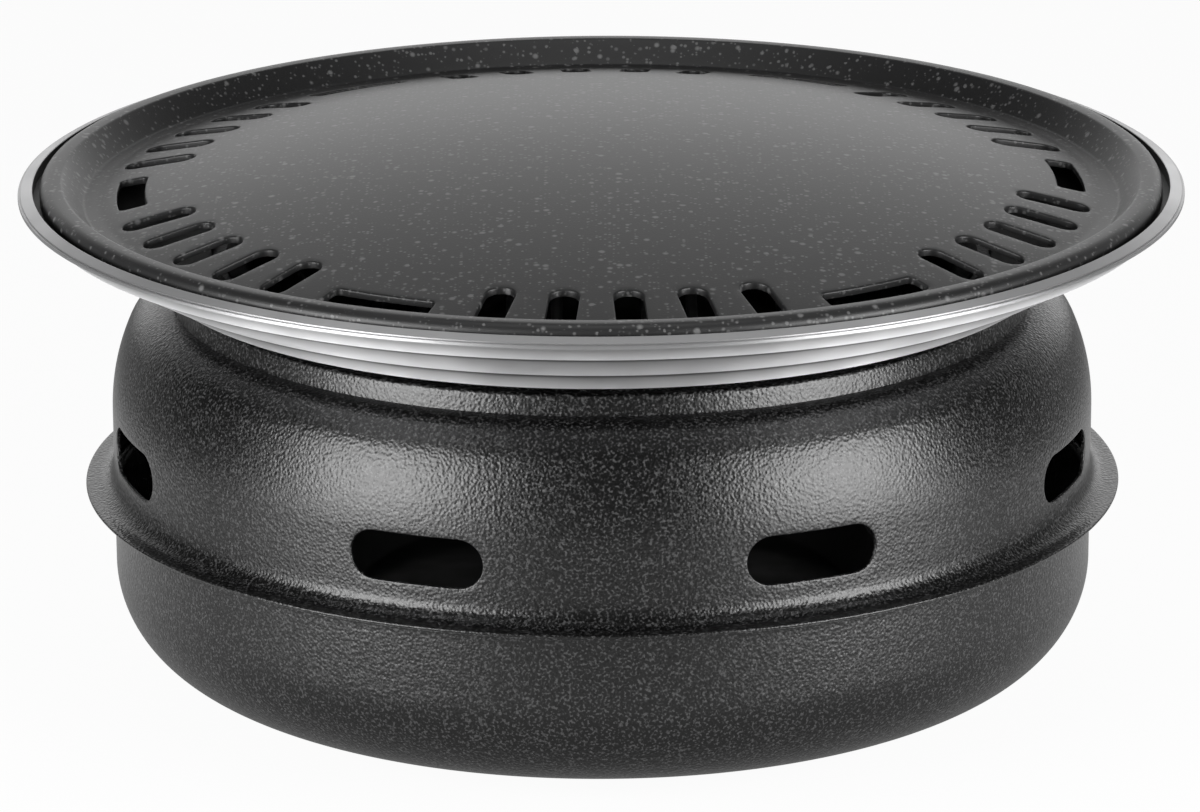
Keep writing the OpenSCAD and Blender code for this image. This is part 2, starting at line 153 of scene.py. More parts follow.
class RingSizes(bpy.types.PropertyGroup):
    """Sizes of the turned aluminium ring"""

    outer_r: length("Radius", "Outer radius of the ring", widest("support_ring"))
    bore_r: length("Bore", "Radius of the opening in the ring's foot", 0.1175)
    runs: FloatVectorProperty(
        name="Band runs", description="Run inwards of the three bands, before they are fitted",
        default=(0.0071, 0.0195, 0.013), unit="LENGTH",
    )
    falls: FloatVectorProperty(
        name="Band falls", description="Fall of the three bands",
        default=(0.00515, 0.01035, 0.0078), unit="LENGTH",
    )
    foot_w: length("Foot width", "Width of the ring's lower edge", 0.0048)
    step: length("Step", "Step in from one band to the next", 0.0008)
    edge_h: length("Edge", "Height of the outer edge", 0.0011)
    groove: length("Groove", "Groove between the lip and the edge", 0.0004)
    lip_w: length("Lip width", "Width of the lip round the recess", 0.0044)
    recess: length("Recess", "Depth of the recess that takes the plate", 0.0038)
    seat_w: length("Seat width", "Width of the seat that carries the plate", 0.0084)
    wall: length("Wall", "Wall of the ring, measured upright", 0.0032)
    foot_t: length("Foot thickness", "Thickness of the flange on the neck", 0.003)
    skirt: length("Skirt", "How far the ring hangs below the neck", 0.0017)
    skirt_gap: length("Skirt gap", "Gap between the ring's lower edge and the shoulder", 0.0007)
    edge_round: length("Edge rounding", "Rounding of the turned edges", 0.00025)


class PlateSizes(bpy.types.PropertyGroup):
    """Sizes of the cast plate"""

    outer_r: length("Radius", "Outer radius of the plate", widest("grill_plate"))
    thickness: length("Thickness", "Thickness of the casting", 0.002)
    rim_w: length("Rim width", "Width of the rim's top", 0.0064)
    rim_h: length("Rim height", "Height of the rim above its seat", 0.006)
    rim_round: length("Rim rounding", "Rounding of the rim's outer edge", 0.003)
    rim_edge: length("Rim edge", "Rounding of the rim's inner edge", 0.0012)
    depth: length("Depth", "Depth of the gutter below the rim", 0.0071)
    wall_run: length("Wall run", "Run of the sloping wall inside the rim", 0.0066)
    gutter_w: length("Gutter", "Width of the flat gutter", 0.0045)
    crease: length("Crease", "Rounding between the gutter and the wall", 0.0014)
    dome_h: length("Dome", "Rise of the dome above the gutter", 0.0165)
    toe_r: length("Toe radius", "Radius of the hollow curve at the dome's foot", 0.010)
    turn: angle("Turn", "Turn of the plate from the front", 3.4)
    grid: length("Mesh spacing", "Distance between the plate's mesh points", 0.0022)


class SlotSizes(bpy.types.PropertyGroup):
    """Sizes of the slots through the plate"""

    groups: number("Groups", "Number of groups of radial slots", 6)
    each: number("Slots each", "Radial slots in a group", 5)
    pitch: angle("Pitch", "Angle between the slots of a group", 8.05)
    width: length("Width", "Width of a radial slot", 0.0087)
    span: length("Length", "Length of a radial slot", 0.0219)
    inset: length("Inset", "Distance from the dome's foot to a radial slot", 0.0034)
    arc_inset: length("Arc inset", "Distance from the dome's foot to a curved slot", 0.0055)
    arc_w: length("Arc width", "Width of a curved slot", 0.0083)
    arc_span: angle("Arc span", "Angle that a curved slot covers", 13.4)
    arc_corner: length("Arc corner", "Rounding of a curved slot's corners", 0.0019)
    edge: length("Edge", "Rounding of the slots' upper edges", 0.0006)


class FireSizes(bpy.types.PropertyGroup):
    """Sizes of the charcoal bowl, the grate, the ash tray and the heat shield"""

    sheet: length("Sheet", "Thickness of the bowl, the tray and the shield", 0.001)
    neck_gap: length("Neck gap", "Gap between the bowl and the neck", 0.0006)
    taper: length("Taper", "Run of the bowl's wall down to the grate's step", 0.0108)
    step_w: length("Step width", "Width of the grate's step", 0.009)
    step_h: length("Step height", "Height of the grate's step above the floor", 0.024)
    floor_taper: length("Floor taper", "Run of the bowl's wall below the step", 0.007)
    hole_r: length("Hole radius", "Radius of the air holes", 0.004)
    hole_pitch: length("Hole pitch", "Distance between the circles of holes", 0.020)
    wall_holes: number("Wall holes", "Number of air holes in the wall", 16)
    bend: length("Bend", "Rounding of the pressed bends", 0.0015)
    grate_h: length("Grate height", "Height and width of the grate's hoop", 0.004)
    bar_pitch: length("Bar pitch", "Distance between the grate's bars", 0.014)
    bar_share: FloatProperty(
        name="Bar share", description="Thickness of a bar against the hoop's", default=0.9, subtype="FACTOR"
    )
    tray_flare: length("Tray flare", "Flare of the ash tray", 0.006)


class FootSizes(bpy.types.PropertyGroup):
    """Sizes of the feet, the spacers and their fasteners"""

    count: number("Feet", "Number of feet", 4)
    taper: length("Foot taper", "Taper of a foot, top to bottom", 0.001)
    foot_round: length("Foot rounding", "Rounding of a foot's edges", 0.0006)
    hole_r: length("Screw hole", "Radius of the holes for the screws", 0.0028)
    recess_r: length("Recess", "Radius of the recess for the screw's head", 0.006)
    recess_h: length("Recess depth", "Depth of the recess for the screw's head", 0.0049)
    spacer_r: length("Spacer radius", "Outer radius of a spacer", 0.005)
    screw_r: length("Screw radius", "Radius of the screw's shank", 0.0025)
    head_r: length("Head radius", "Radius of the screw's head", 0.0045)
    head_h: length("Head height", "Height of the screw's head", 0.0028)
    washer_r: length("Washer radius", "Radius of a washer", 0.0052)
    nut_af: length("Nut", "Width of a nut across its flats", 0.008)
    nut_bore: length("Nut bore", "Radius of a nut's hole", 0.0026)
    edge: length("Edge", "Rounding of the small pieces' edges", 0.0002)


class FinishColours(bpy.types.PropertyGroup):
    """Base colours of the finishes"""

    paint: colour("Paint", "Hammer-finished paint of the body", (0.0005, 0.0005, 0.0005))
    pigment: colour("Pigment", "Pigment that gathers in the paint's dimples", (0.042, 0.042, 0.0425))
    aluminium: colour("Aluminium", "Turned ring", (0.82, 0.82, 0.83))
    # painted shade: near-black colour for the ring's inner side and the plate's seat, standing for the
    # shade under the plate
    inner_painted_shade: colour("Inner shade", "Dark painted shade on the ring's inner side", (0.008, 0.008, 0.008))
    coating: colour("Coating", "Non-stick coat of the plate", (0.012, 0.012, 0.0123))
    speckle: colour("Speckle", "Pale speckles in the coat", (0.17, 0.17, 0.17))
    enamel: colour("Enamel", "Heat-proof enamel of the charcoal bowl and the ash tray", (0.01, 0.01, 0.01))
    iron: colour("Iron", "Bars of the grate", (0.045, 0.045, 0.047))
    steel: colour("Steel", "Heat shield and spacers", (0.5, 0.5, 0.51))
    rubber: colour("Rubber", "Feet", (0.02, 0.02, 0.02))
    zinc: colour("Zinc", "Screws, washers and nuts", (0.6, 0.61, 0.63))


class StudioSizes(bpy.types.PropertyGroup):
    """Camera and stage"""

    distance: length("Camera distance", "From the camera to what it looks at", 1.9529)
    aim_z: length("Aim height", "Height that the camera looks at", 0.081)
    elevation: angle("Elevation", "Height of the camera above the horizon", 17.152)
    roll: angle("Roll", "Roll of the camera", -0.23)
    left_bearing: angle("Left lamp", "Bearing of the softbox on the left", -49.0)
    right_bearing: angle("Right lamp", "Bearing of the softbox on the right", 53.0)
    shift: FloatProperty(
        name="Shift", description="Sideways shift of the picture, as a share of its width", default=-0.0017
    )
    lens: FloatProperty(
        name="Lens", description="Focal length on a 36 mm sensor", default=192.57, unit="CAMERA"
    )
    floor_w: length("Floor", "Width of the floor", 40.0)


# Outlines: points are (distance from the axis, height), in metres

def arc(centre, radius, start, end):
    """Points on a circle from one angle to another, counted from outwards to upwards."""
    fewest = 3
    count = max(fewest, math.ceil(abs(end - start) * radius / CURVE_STEP))
    angles = [start + (end - start) * i / count for i in range(count + 1)]
    return [(centre[0] + radius * math.cos(a), centre[1] + radius * math.sin(a)) for a in angles]


def fillet(before, corner, after):
    """Points round a corner, which is (r, z) where it is sharp or (r, z, rounding)."""
    fewest = 4
    point = Vector(corner[:2])
    if len(corner) < 3:
        return [tuple(point)]
    rounding = corner[2]
    behind = (Vector(before[:2]) - point).normalized()
    ahead = (Vector(after[:2]) - point).normalized()
    half = behind.angle(ahead) / 2
    centre = point + (behind + ahead).normalized() * rounding / math.sin(half)
    first = point + behind * rounding / math.tan(half) - centre
    last = point + ahead * rounding / math.tan(half) - centre
    start = math.atan2(first.y, first.x)
    turn = math.remainder(math.atan2(last.y, last.x) - start, FULL_TURN)
    count = max(fewest, math.ceil(abs(turn) * rounding / CURVE_STEP))
    angles = [start + turn * i / count for i in range(count + 1)]
    return [(centre.x + rounding * math.cos(a), centre.y + rounding * math.sin(a)) for a in angles]


def runs(corners):
    """The straight runs and the corners of an open outline, in turn."""
    parts = []
    start = corners[0][:2]
    for before, corner, after in zip(corners, corners[1:], corners[2:]):
        curve = fillet(before, corner, after)
        parts.append([start, curve[0]])
        parts.append(curve)
        start = curve[-1]
    parts.append([start, corners[-1][:2]])
    return parts


def without_doubles(points):
    """The points, less each that lies on the one before it."""
    kept = [points[0]]
    for point in points[1:]:
        if math.dist(point, kept[-1]) > NEAR:
            kept.append(point)
    return kept


def outline(corners):
    """An open outline with rounded corners, held flat right up to each rounding."""
    hold = 0.12
    points = []
    for part in runs(corners):
        points.append(part[0])
        if len(part) == 2:
            near, far = Vector(part[0]), Vector(part[1])
            points += [tuple(near.lerp(far, hold)), tuple(near.lerp(far, 1 - hold))]
        points += part[1:]
    return without_doubles(points)


def spaced(points, gap):
    """The points, with more between those that lie further apart than the gap."""
    filled = [points[0]]
    for near, far in zip(points, points[1:]):
        count = max(1, math.ceil(math.dist(near, far) / gap))
        filled += [tuple(Vector(near).lerp(Vector(far), i / count)) for i in range(1, count + 1)]
    return filled


def lengths(points):
    """Length along an outline at each of its points."""
    totals = [0.0]
    for near, far in zip(points, points[1:]):
        totals.append(totals[-1] + math.dist(near, far))
    return totals


def point_at(points, totals, distance):
    """Point at a length along an outline."""
    if len(points) == 1:
        return points[0]
    i = min(max(bisect.bisect_right(totals, distance) - 1, 0), len(points) - 2)
    share = (distance - totals[i]) / (totals[i + 1] - totals[i])
    return tuple(Vector(points[i]).lerp(Vector(points[i + 1]), share))


def paired(face_parts, back_parts, gap):
    """Face and back of a sheet, part by part, with a point of the back for each point of the face."""
    face = []
    back = []
    for front, rear in zip(face_parts, back_parts):
        front = spaced(front, gap)
        along = lengths(front)
        rear_totals = lengths(rear)
        stretch = rear_totals[-1] / along[-1] if along[-1] > NEAR else 0.0
        for point, distance in zip(front, along):
            if face and math.dist(point, face[-1]) < NEAR:
                continue
            face.append(point)
            back.append(point_at(rear, rear_totals, distance * stretch))
    return face, back


def slot_outline(span, width, corner, grow, gap):
    """A rectangle along x with rounded corners, as (x, y) points, whose number doesn't depend on grow."""
    quarter_steps = 7
    half_x = span / 2 - corner
    half_y = width / 2 - corner
    centres = [(half_x, -half_y), (half_x, half_y), (-half_x, half_y), (-half_x, -half_y)]
    points = []
    for i, (x, y) in enumerate(centres):
        for step in range(quarter_steps + 1):
            a = math.pi / 2 * (i - 1 + step / quarter_steps)
            points.append((x + (corner + grow) * math.cos(a), y + (corner + grow) * math.sin(a)))
        ahead = centres[(i + 1) % len(centres)]
        run = math.dist((x, y), ahead)
        count = math.ceil(run / gap - NEAR)
        last = Vector(points[-1])
        shift = Vector(ahead) - Vector((x, y))
        points += [tuple(last + shift * step / count) for step in range(1, count)]
    points = without_doubles(points)
    if math.dist(points[0], points[-1]) < NEAR:
        points.pop()
    return points


# A turned sheet with holes that have rounded edges

class TurnedSheet:
    """A sheet turned round the axis, on which a spot is (length along the face, angle)."""

    def __init__(self, face, back):
        self.face = face
        self.back = back
        self.reach = [face[0][0] + total for total in lengths(face)]

    def reach_at(self, value, axis):
        """Length along the face where it comes to a radius (axis 0) or a height (axis 1)."""
        for i in range(len(self.face) - 1, 0, -1):
            near = self.face[i - 1][axis]
            far = self.face[i][axis]
            if near != far and min(near, far) <= value <= max(near, far):
                share = (value - near) / (far - near)
                return self.reach[i - 1] + share * (self.reach[i] - self.reach[i - 1])
        raise ValueError("the sheet doesn't come to that radius or height")

    def places(self, reach, angle, drop):
        """The places of a spot on the face, sunk a little towards the back, and on the back."""
        front = Vector(point_at(self.face, self.reach, reach))
        rear = Vector(point_at(self.back, self.reach, reach))
        sunk = front + (rear - front).normalized() * drop
        return [(p.x * math.cos(angle), p.x * math.sin(angle), p.y) for p in (sunk, rear)]


class Hole:
    """An opening in a turned sheet; loop(grow) gives its outline as (reach, angle) spots."""

    def __init__(self, loop, margin):
        self.loop = loop
        self.border = loop(margin)
        self.centre = sum(a for _, a in self.border) / len(self.border)
        self.low = min(r for r, _ in self.border)
        self.high = max(r for r, _ in self.border)

    def holds(self, reach, angle):
        """Whether a spot lies inside the border."""
        return self.low < reach < self.high and self.inside(self.border, reach, angle)

    def inside(self, border, reach, angle):
        """Whether a spot lies inside a closed border round this hole."""
        angle = self.centre + math.remainder(angle - self.centre, FULL_TURN)
        found = False
        for (r1, a1), (r2, a2) in zip(border, border[1:] + border[:1]):
            if (a1 > angle) != (a2 > angle) and reach < r1 + (angle - a1) / (a2 - a1) * (r2 - r1):
                found = not found
        return found


def strip(near, far):
    """Faces between two closed rings of the same number of vertices."""
    count = len(near)
    return [(near[i], near[(i + 1) % count], far[(i + 1) % count], far[i]) for i in range(count)]


def pierced_mesh(name, sheet, loops, edge, gap):
    """Closed mesh of a turned sheet, with a hole for each loop and a quarter round at its face."""
    round_steps = 4
    clear_share = 0.55
    ring_multiple = 12
    holes = [Hole(loop, edge + gap * clear_share) for loop in loops]
    spots = []
    fixed = []
    rings = []
    for reach, (radius, _) in zip(sheet.reach, sheet.face):
        count = max(1, ring_multiple * round(FULL_TURN * radius / gap / ring_multiple))
        angles = [FULL_TURN * i / count for i in range(count)]
        near = [hole for hole in holes if hole.low < reach < hole.high]
        kept = [a for a in angles if not any(hole.holds(reach, a) for hole in near)]
        ring = list(range(len(spots), len(spots) + len(kept)))
        spots += [(reach, a, 0.0) for a in kept]
        if count > 1 and len(kept) == count:
            fixed += list(zip(ring, ring[1:] + ring[:1]))
        rings.append(ring)
    owner = {i: -1 for i in rings[0]} if len(rings[0]) > 1 else {}
    mouths = []
    for which, hole in enumerate(holes):
        border = hole.loop(edge)
        mouth = list(range(len(spots), len(spots) + len(border)))
        spots += [(reach, a, 0.0) for reach, a in border]
        fixed += list(zip(mouth, mouth[1:] + mouth[:1]))
        owner.update({i: which for i in mouth})
        mouths.append(mouth)
    flat = [Vector((r * math.cos(a), r * math.sin(a))) * MILLIMETRES for r, a, _ in spots]
    _, _, triangles, origin, _, _ = delaunay_2d_cdt(flat, fixed, [], 0, NEAR * MILLIMETRES, True)
    if len(origin) != len(spots):
        raise RuntimeError(name + ": two outlines cross")
    faces = []
    for triangle in triangles:
        corners = [origin[i][0] for i in triangle]
        owners = {owner.get(i) for i in corners}
        if owners == {-1}:
            continue
        if len(owners) == 1 and None not in owners:
            hole = holes[owners.pop()]
            middle = sum((flat[i] for i in corners), Vector((0.0, 0.0))) / (len(corners) * MILLIMETRES)
            if hole.inside(hole.loop(edge), middle.length, math.atan2(middle.y, middle.x)):
                continue
        faces.append(tuple(corners))
    throats = []
    for hole, mouth in zip(holes, mouths):
        outer = mouth
        for step in range(1, round_steps + 1):
            tilt = math.pi / 2 * step / round_steps
            drop = edge * (1 - math.cos(tilt))
            loop = hole.loop(edge * (1 - math.sin(tilt)))
            inner = list(range(len(spots), len(spots) + len(loop)))
            spots += [(reach, a, drop) for reach, a in loop]
            faces += strip(outer, inner)
            outer = inner
        throats.append(outer)
    places = [sheet.places(*spot) for spot in spots]
    total = len(spots)
    vertices = [pair[0] for pair in places] + [pair[1] for pair in places]
    faces += [tuple(i + total for i in reversed(face)) for face in faces]
    borders = throats + [rings[-1]] + ([rings[0]] if len(rings[0]) > 1 else [])
    for border in borders:
        faces += strip(border, [i + total for i in border])
    mesh = bpy.data.meshes.new(name)
    mesh.from_pydata(vertices, [], faces)
    return mesh


# Geometry Nodes: trees for turned pieces, drilled holes, copies and bars

def new_tree(name, inputs):
    """A node tree with a geometry input, more named inputs and a geometry output."""
    tree = bpy.data.node_groups.new(name, "GeometryNodeTree")
    tree.interface.new_socket("Geometry", in_out="INPUT", socket_type="NodeSocketGeometry")
    for label, kind in inputs:
        tree.interface.new_socket(label, in_out="INPUT", socket_type=kind)
    tree.interface.new_socket("Geometry", in_out="OUTPUT", socket_type="NodeSocketGeometry")
    return tree, tree.nodes.new("NodeGroupInput").outputs


def add(tree, kind, inputs, **settings):
    """A node whose inputs are links or plain values; its first output is returned."""
    node = tree.nodes.new(kind)
    for key, value in settings.items():
        setattr(node, key, value)
    for key, value in inputs.items():
        if isinstance(value, bpy.types.NodeSocket):
            tree.links.new(value, node.inputs[key])
        else:
            node.inputs[key].default_value = value
    return node.outputs[0]


def maths(tree, operation, first, second=0.0):
    """A Math node."""
    return add(tree, "ShaderNodeMath", {0: first, 1: second}, operation=operation)


def vector_maths(tree, operation, first, second):
    """A Vector Math node."""
    return add(tree, "ShaderNodeVectorMath", {0: first, 1: second}, operation=operation)


def split(tree, vector):
    """The X, Y and Z of a vector."""
    apart = tree.nodes.new("ShaderNodeSeparateXYZ")
    tree.links.new(vector, apart.inputs[0])
    return apart.outputs


def end_tree(tree, geometry, material):
    """Realize Instances and Set Material, then the output."""
    smooth = add(tree, "GeometryNodeSetShadeSmooth", {"Geometry": geometry})
    real = add(tree, "GeometryNodeRealizeInstances", {"Geometry": smooth})
    painted = add(tree, "GeometryNodeSetMaterial", {"Geometry": real, "Material": material})
    tree.links.new(painted, tree.nodes.new("NodeGroupOutput").inputs["Geometry"])
    return tree


def turned_tree():
    """Turns a closed outline in the XZ plane round the Z axis."""
    tree, given = new_tree("turned_piece", [
        ("Segments", "NodeSocketInt"), ("Material", "NodeSocketMaterial"),
    ])
    count = add(tree, "GeometryNodeAttributeDomainSize", {"Geometry": given["Geometry"]})
    rows = maths(tree, "ADD", count, 1.0)
    columns = maths(tree, "ADD", given["Segments"], 1.0)
    grid = add(tree, "GeometryNodeMeshGrid", {"Vertices X": columns, "Vertices Y": rows})
    index = add(tree, "GeometryNodeInputIndex", {})
    row = maths(tree, "MODULO", maths(tree, "MODULO", index, rows), count)
    column = maths(tree, "FLOOR", maths(tree, "DIVIDE", index, rows))
    turn = maths(tree, "MULTIPLY", maths(tree, "DIVIDE", column, given["Segments"]), FULL_TURN)
    spot = add(tree, "GeometryNodeInputPosition", {})
    sample = add(
        tree, "GeometryNodeSampleIndex",
        {"Geometry": given["Geometry"], "Value": spot, "Index": row}, data_type="FLOAT_VECTOR",
    )
    place = add(tree, "ShaderNodeVectorRotate", {"Vector": sample, "Angle": turn}, rotation_type="Z_AXIS")
    turned = add(tree, "GeometryNodeSetPosition", {"Geometry": grid, "Position": place})
    closed = add(tree, "GeometryNodeMergeByDistance", {"Geometry": turned, "Distance": NEAR})
    return end_tree(tree, closed, given["Material"])


def drilled_tree():
    """Drills a circle of holes, upright or, with Tilt, towards the axis."""
    tree, given = new_tree("drilled_circle", [
        ("Count", "NodeSocketInt"), ("Circle Radius", "NodeSocketFloat"), ("Height", "NodeSocketFloat"),
        ("Hole Radius", "NodeSocketFloat"), ("Depth", "NodeSocketFloat"), ("Tilt", "NodeSocketFloat"),
        ("Start", "NodeSocketFloat"), ("Material", "NodeSocketMaterial"),
    ])
    drill = add(tree, "GeometryNodeMeshCylinder", {
        "Vertices": HOLE_SEGMENTS, "Radius": given["Hole Radius"], "Depth": given["Depth"],
    })
    tilt = add(tree, "ShaderNodeCombineXYZ", {"Y": given["Tilt"]})
    out = add(tree, "ShaderNodeCombineXYZ", {"X": given["Circle Radius"], "Z": given["Height"]})
    set_out = add(tree, "GeometryNodeTransform", {"Geometry": drill, "Translation": out, "Rotation": tilt})
    drills = add(tree, "GeometryNodeDuplicateElements", {
        "Geometry": add(tree, "GeometryNodeGeometryToInstance", {0: set_out}), "Amount": given["Count"],
    }, domain="INSTANCE")
    order = add(tree, "GeometryNodeInputIndex", {})
    share = maths(tree, "DIVIDE", order, given["Count"])
    bearing = maths(tree, "ADD", maths(tree, "MULTIPLY", share, FULL_TURN), given["Start"])
    spin = add(tree, "ShaderNodeCombineXYZ", {"Z": bearing})
    fan = add(tree, "GeometryNodeRotateInstances", {
        "Instances": drills, "Rotation": spin, "Pivot Point": (0.0, 0.0, 0.0), "Local Space": False,
    })
    tools = add(tree, "GeometryNodeRealizeInstances", {"Geometry": fan})
    cut = add(tree, "GeometryNodeMeshBoolean", {0: given["Geometry"], 1: tools}, solver="EXACT")
    return end_tree(tree, cut, given["Material"])


def copies_tree():
    """Sets copies of a piece on a circle round the axis."""
    tree, given = new_tree("ring_of_copies", [
        ("Count", "NodeSocketInt"), ("Circle Radius", "NodeSocketFloat"), ("Start", "NodeSocketFloat"),
        ("Material", "NodeSocketMaterial"),
    ])
    spots = add(tree, "GeometryNodeMeshCircle", {
        "Vertices": given["Count"], "Radius": given["Circle Radius"],
    })
    start = add(tree, "ShaderNodeCombineXYZ", {"Z": given["Start"]})
    turned = add(tree, "GeometryNodeTransform", {"Geometry": spots, "Rotation": start})
    copies = add(tree, "GeometryNodeInstanceOnPoints", {"Points": turned, "Instance": given["Geometry"]})
    return end_tree(tree, copies, given["Material"])


def bars_tree():
    """Lays bars across a hoop, each as long as the hoop is wide there."""
    tree, given = new_tree("bar_grate", [
        ("Bars", "NodeSocketInt"), ("Pitch", "NodeSocketFloat"), ("Hoop Radius", "NodeSocketFloat"),
        ("Bar Radius", "NodeSocketFloat"), ("Height", "NodeSocketFloat"),
        ("Material", "NodeSocketMaterial"),
    ])
    bar_length = 2.0
    first = maths(tree, "MULTIPLY", maths(tree, "SUBTRACT", given["Bars"], 1.0), -0.5)
    start = add(tree, "ShaderNodeCombineXYZ", {
        "X": maths(tree, "MULTIPLY", first, given["Pitch"]), "Z": given["Height"],
    })
    pace = add(tree, "ShaderNodeCombineXYZ", {"X": given["Pitch"]})
    row = add(tree, "GeometryNodeMeshLine", {
        "Count": given["Bars"], "Start Location": start, "Offset": pace,
    })
    bar = add(tree, "GeometryNodeMeshCylinder", {
        "Vertices": BAR_SEGMENTS, "Radius": given["Bar Radius"], "Depth": bar_length,
    })
    apart = split(tree, add(tree, "GeometryNodeInputPosition", {}))
    square = maths(tree, "MULTIPLY", apart["X"], apart["X"])
    full = maths(tree, "MULTIPLY", given["Hoop Radius"], given["Hoop Radius"])
    half = maths(tree, "SQRT", maths(tree, "SUBTRACT", full, square))
    lie = add(tree, "ShaderNodeCombineXYZ", {"X": math.pi / 2})
    stretch = add(tree, "ShaderNodeCombineXYZ", {"X": 1.0, "Y": 1.0, "Z": half})
    bars = add(tree, "GeometryNodeInstanceOnPoints", {
        "Points": row, "Instance": bar, "Rotation": lie, "Scale": stretch,
    })
    lift = add(tree, "ShaderNodeCombineXYZ", {"Z": given["Height"]})
    across = add(tree, "ShaderNodeCombineXYZ", {"Y": math.pi / 2})
    whole = add(tree, "ShaderNodeCombineXYZ", {"X": 1.0, "Y": 1.0, "Z": given["Hoop Radius"]})
    cross = add(tree, "GeometryNodeTransform", {
        "Geometry": bar, "Translation": lift, "Rotation": across, "Scale": whole,
    })
    joined = tree.nodes.new("GeometryNodeJoinGeometry")
    for part in (cross, bars, given["Geometry"]):
        tree.links.new(part, joined.inputs[0])
    return end_tree(tree, joined.outputs[0], given["Material"])


def socket_name(tree, label):
    """Identifier of a tree's input."""
    for item in tree.interface.items_tree:
        if item.item_type == "SOCKET" and item.in_out == "INPUT" and item.name == label:
            return item.identifier
    raise KeyError(label)


def run_trees(mesh, steps):
    """Runs (tree, inputs) steps on a start mesh and returns the result as a plain mesh."""
    start = bpy.data.objects.new(mesh.name + "_start", mesh)
    bpy.context.scene.collection.objects.link(start)
    for tree, inputs in steps:
        modifier = start.modifiers.new(tree.name, "NODES")
        modifier.node_group = tree
        for label, value in inputs.items():
            modifier[socket_name(tree, label)] = value
    start.update_tag()
    graph = bpy.context.evaluated_depsgraph_get()
    result = bpy.data.meshes.new_from_object(start.evaluated_get(graph))
    bpy.data.objects.remove(start)
    return result


def tree_named(name):
    """A node tree, made when it is first asked for."""
    makers = {
        "turned_piece": turned_tree, "drilled_circle": drilled_tree,
        "ring_of_copies": copies_tree, "bar_grate": bars_tree,
    }
    return bpy.data.node_groups.get(name) or makers[name]()


def profile_mesh(name, points):
    """A closed outline as loose vertices in the XZ plane, for the turning tree."""
    mesh = bpy.data.meshes.new(name)
    mesh.from_pydata([(r, 0.0, z) for r, z in without_doubles(points)], [], [])
    return mesh


def turning(material, segments=LATHE_SEGMENTS):
    """The step that turns an outline."""
    return tree_named("turned_piece"), {"Segments": segments, "Material": material}


def drilling(material, count, circle_r, height, hole_r, depth, tilt=0.0, start=0.0):
    """The step that drills a circle of holes."""
    return tree_named("drilled_circle"), {
        "Count": count, "Circle Radius": circle_r, "Height": height, "Hole Radius": hole_r, "Depth": depth,
        "Tilt": tilt, "Start": start, "Material": material,
    }


def screw_drilling(material, feet, height, sheet):
    """The step that drills the holes for the feet's screws through a sheet."""
    circle_r, bearing = foot_place()
    depth = DRILL_SHEETS * sheet
    return drilling(material, feet.count, circle_r, height, feet.hole_r, depth, start=bearing)


def copying(material, count):
    """The step that sets copies of a piece on the feet's axes."""
    circle_r, bearing = foot_place()
    return tree_named("ring_of_copies"), {
        "Count": count, "Circle Radius": circle_r, "Start": bearing, "Material": material,
    }


def on_each_foot(name, profile, material, count, segments=SMALL_SEGMENTS):
    """Mesh of a small turned piece, once on each foot's axis."""
    return run_trees(profile_mesh(name, profile), [turning(material, segments), copying(material, count)])


def new_piece(name, mesh, body, slot, *nodes):
    """A finished piece: normals outwards, smooth with sharp edges, on its body, for its CAD nodes."""
    work = bmesh.new()
    work.from_mesh(mesh)
    bmesh.ops.remove_doubles(work, verts=work.verts, dist=NEAR)
    bmesh.ops.recalc_face_normals(work, faces=work.faces)
    work.to_mesh(mesh)
    work.free()
    mesh.shade_smooth()
    mesh.set_sharp_from_angle(angle=SHARP_ANGLE)
    piece = bpy.data.objects.new(name, mesh)
    bpy.context.scene.collection.objects.link(piece)
    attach(piece, body)
    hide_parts(*nodes)


# Finishes

def new_finish(name, base, metallic, roughness):
    """A material with its tree and its shader."""
    material = bpy.data.materials.new(name)
    material.use_nodes = True
    tree = material.node_tree
    shader = tree.nodes["Principled BSDF"]
    shader.inputs["Base Color"].default_value = (*base, 1.0)
    shader.inputs["Metallic"].default_value = metallic
    shader.inputs["Roughness"].default_value = roughness
    return material, tree, shader


def object_coordinates(tree):
    """The piece's own coordinates."""
    return tree.nodes.new("ShaderNodeTexCoord").outputs["Object"]


def noise(tree, vector, scale, detail=2.0):
    """A noise texture's value."""
    return add(tree, "ShaderNodeTexNoise", {"Vector": vector, "Scale": scale, "Detail": detail})


def spread(tree, value, low, high, new_low, new_high):
    """A Map Range node."""
    return add(tree, "ShaderNodeMapRange", {
        "Value": value, "From Min": low, "From Max": high, "To Min": new_low, "To Max": new_high,
    })


def blend(tree, share, first, second):
    """Two colours mixed by a share; the first may come from another node."""
    mix = tree.nodes.new("ShaderNodeMix")
    mix.data_type = "RGBA"
    factor = mix.inputs[0]
    first_colour = mix.inputs[6]
    second_colour = mix.inputs[7]
    mixed_colour = mix.outputs[2]
    if isinstance(first, bpy.types.NodeSocket):
        tree.links.new(first, first_colour)
    else:
        first_colour.default_value = (*first, 1.0)
    second_colour.default_value = (*second, 1.0)
    tree.links.new(share, factor)
    return mixed_colour


def emboss(tree, shader, height, depth, strength=1.0):
    """A relief in the shader's surface."""
    relief = add(tree, "ShaderNodeBump", {"Strength": strength, "Distance": depth, "Height": height})
    tree.links.new(relief, shader.inputs["Normal"])


def vary_gloss(tree, shader, spot, per_metre, smoothest, roughest):
    """A roughness that varies a little from place to place."""
    noise_low = 0.3
    noise_high = 0.7
    clouds = noise(tree, spot, per_metre)
    gloss = spread(tree, clouds, noise_low, noise_high, smoothest, roughest)
    tree.links.new(gloss, shader.inputs["Roughness"])


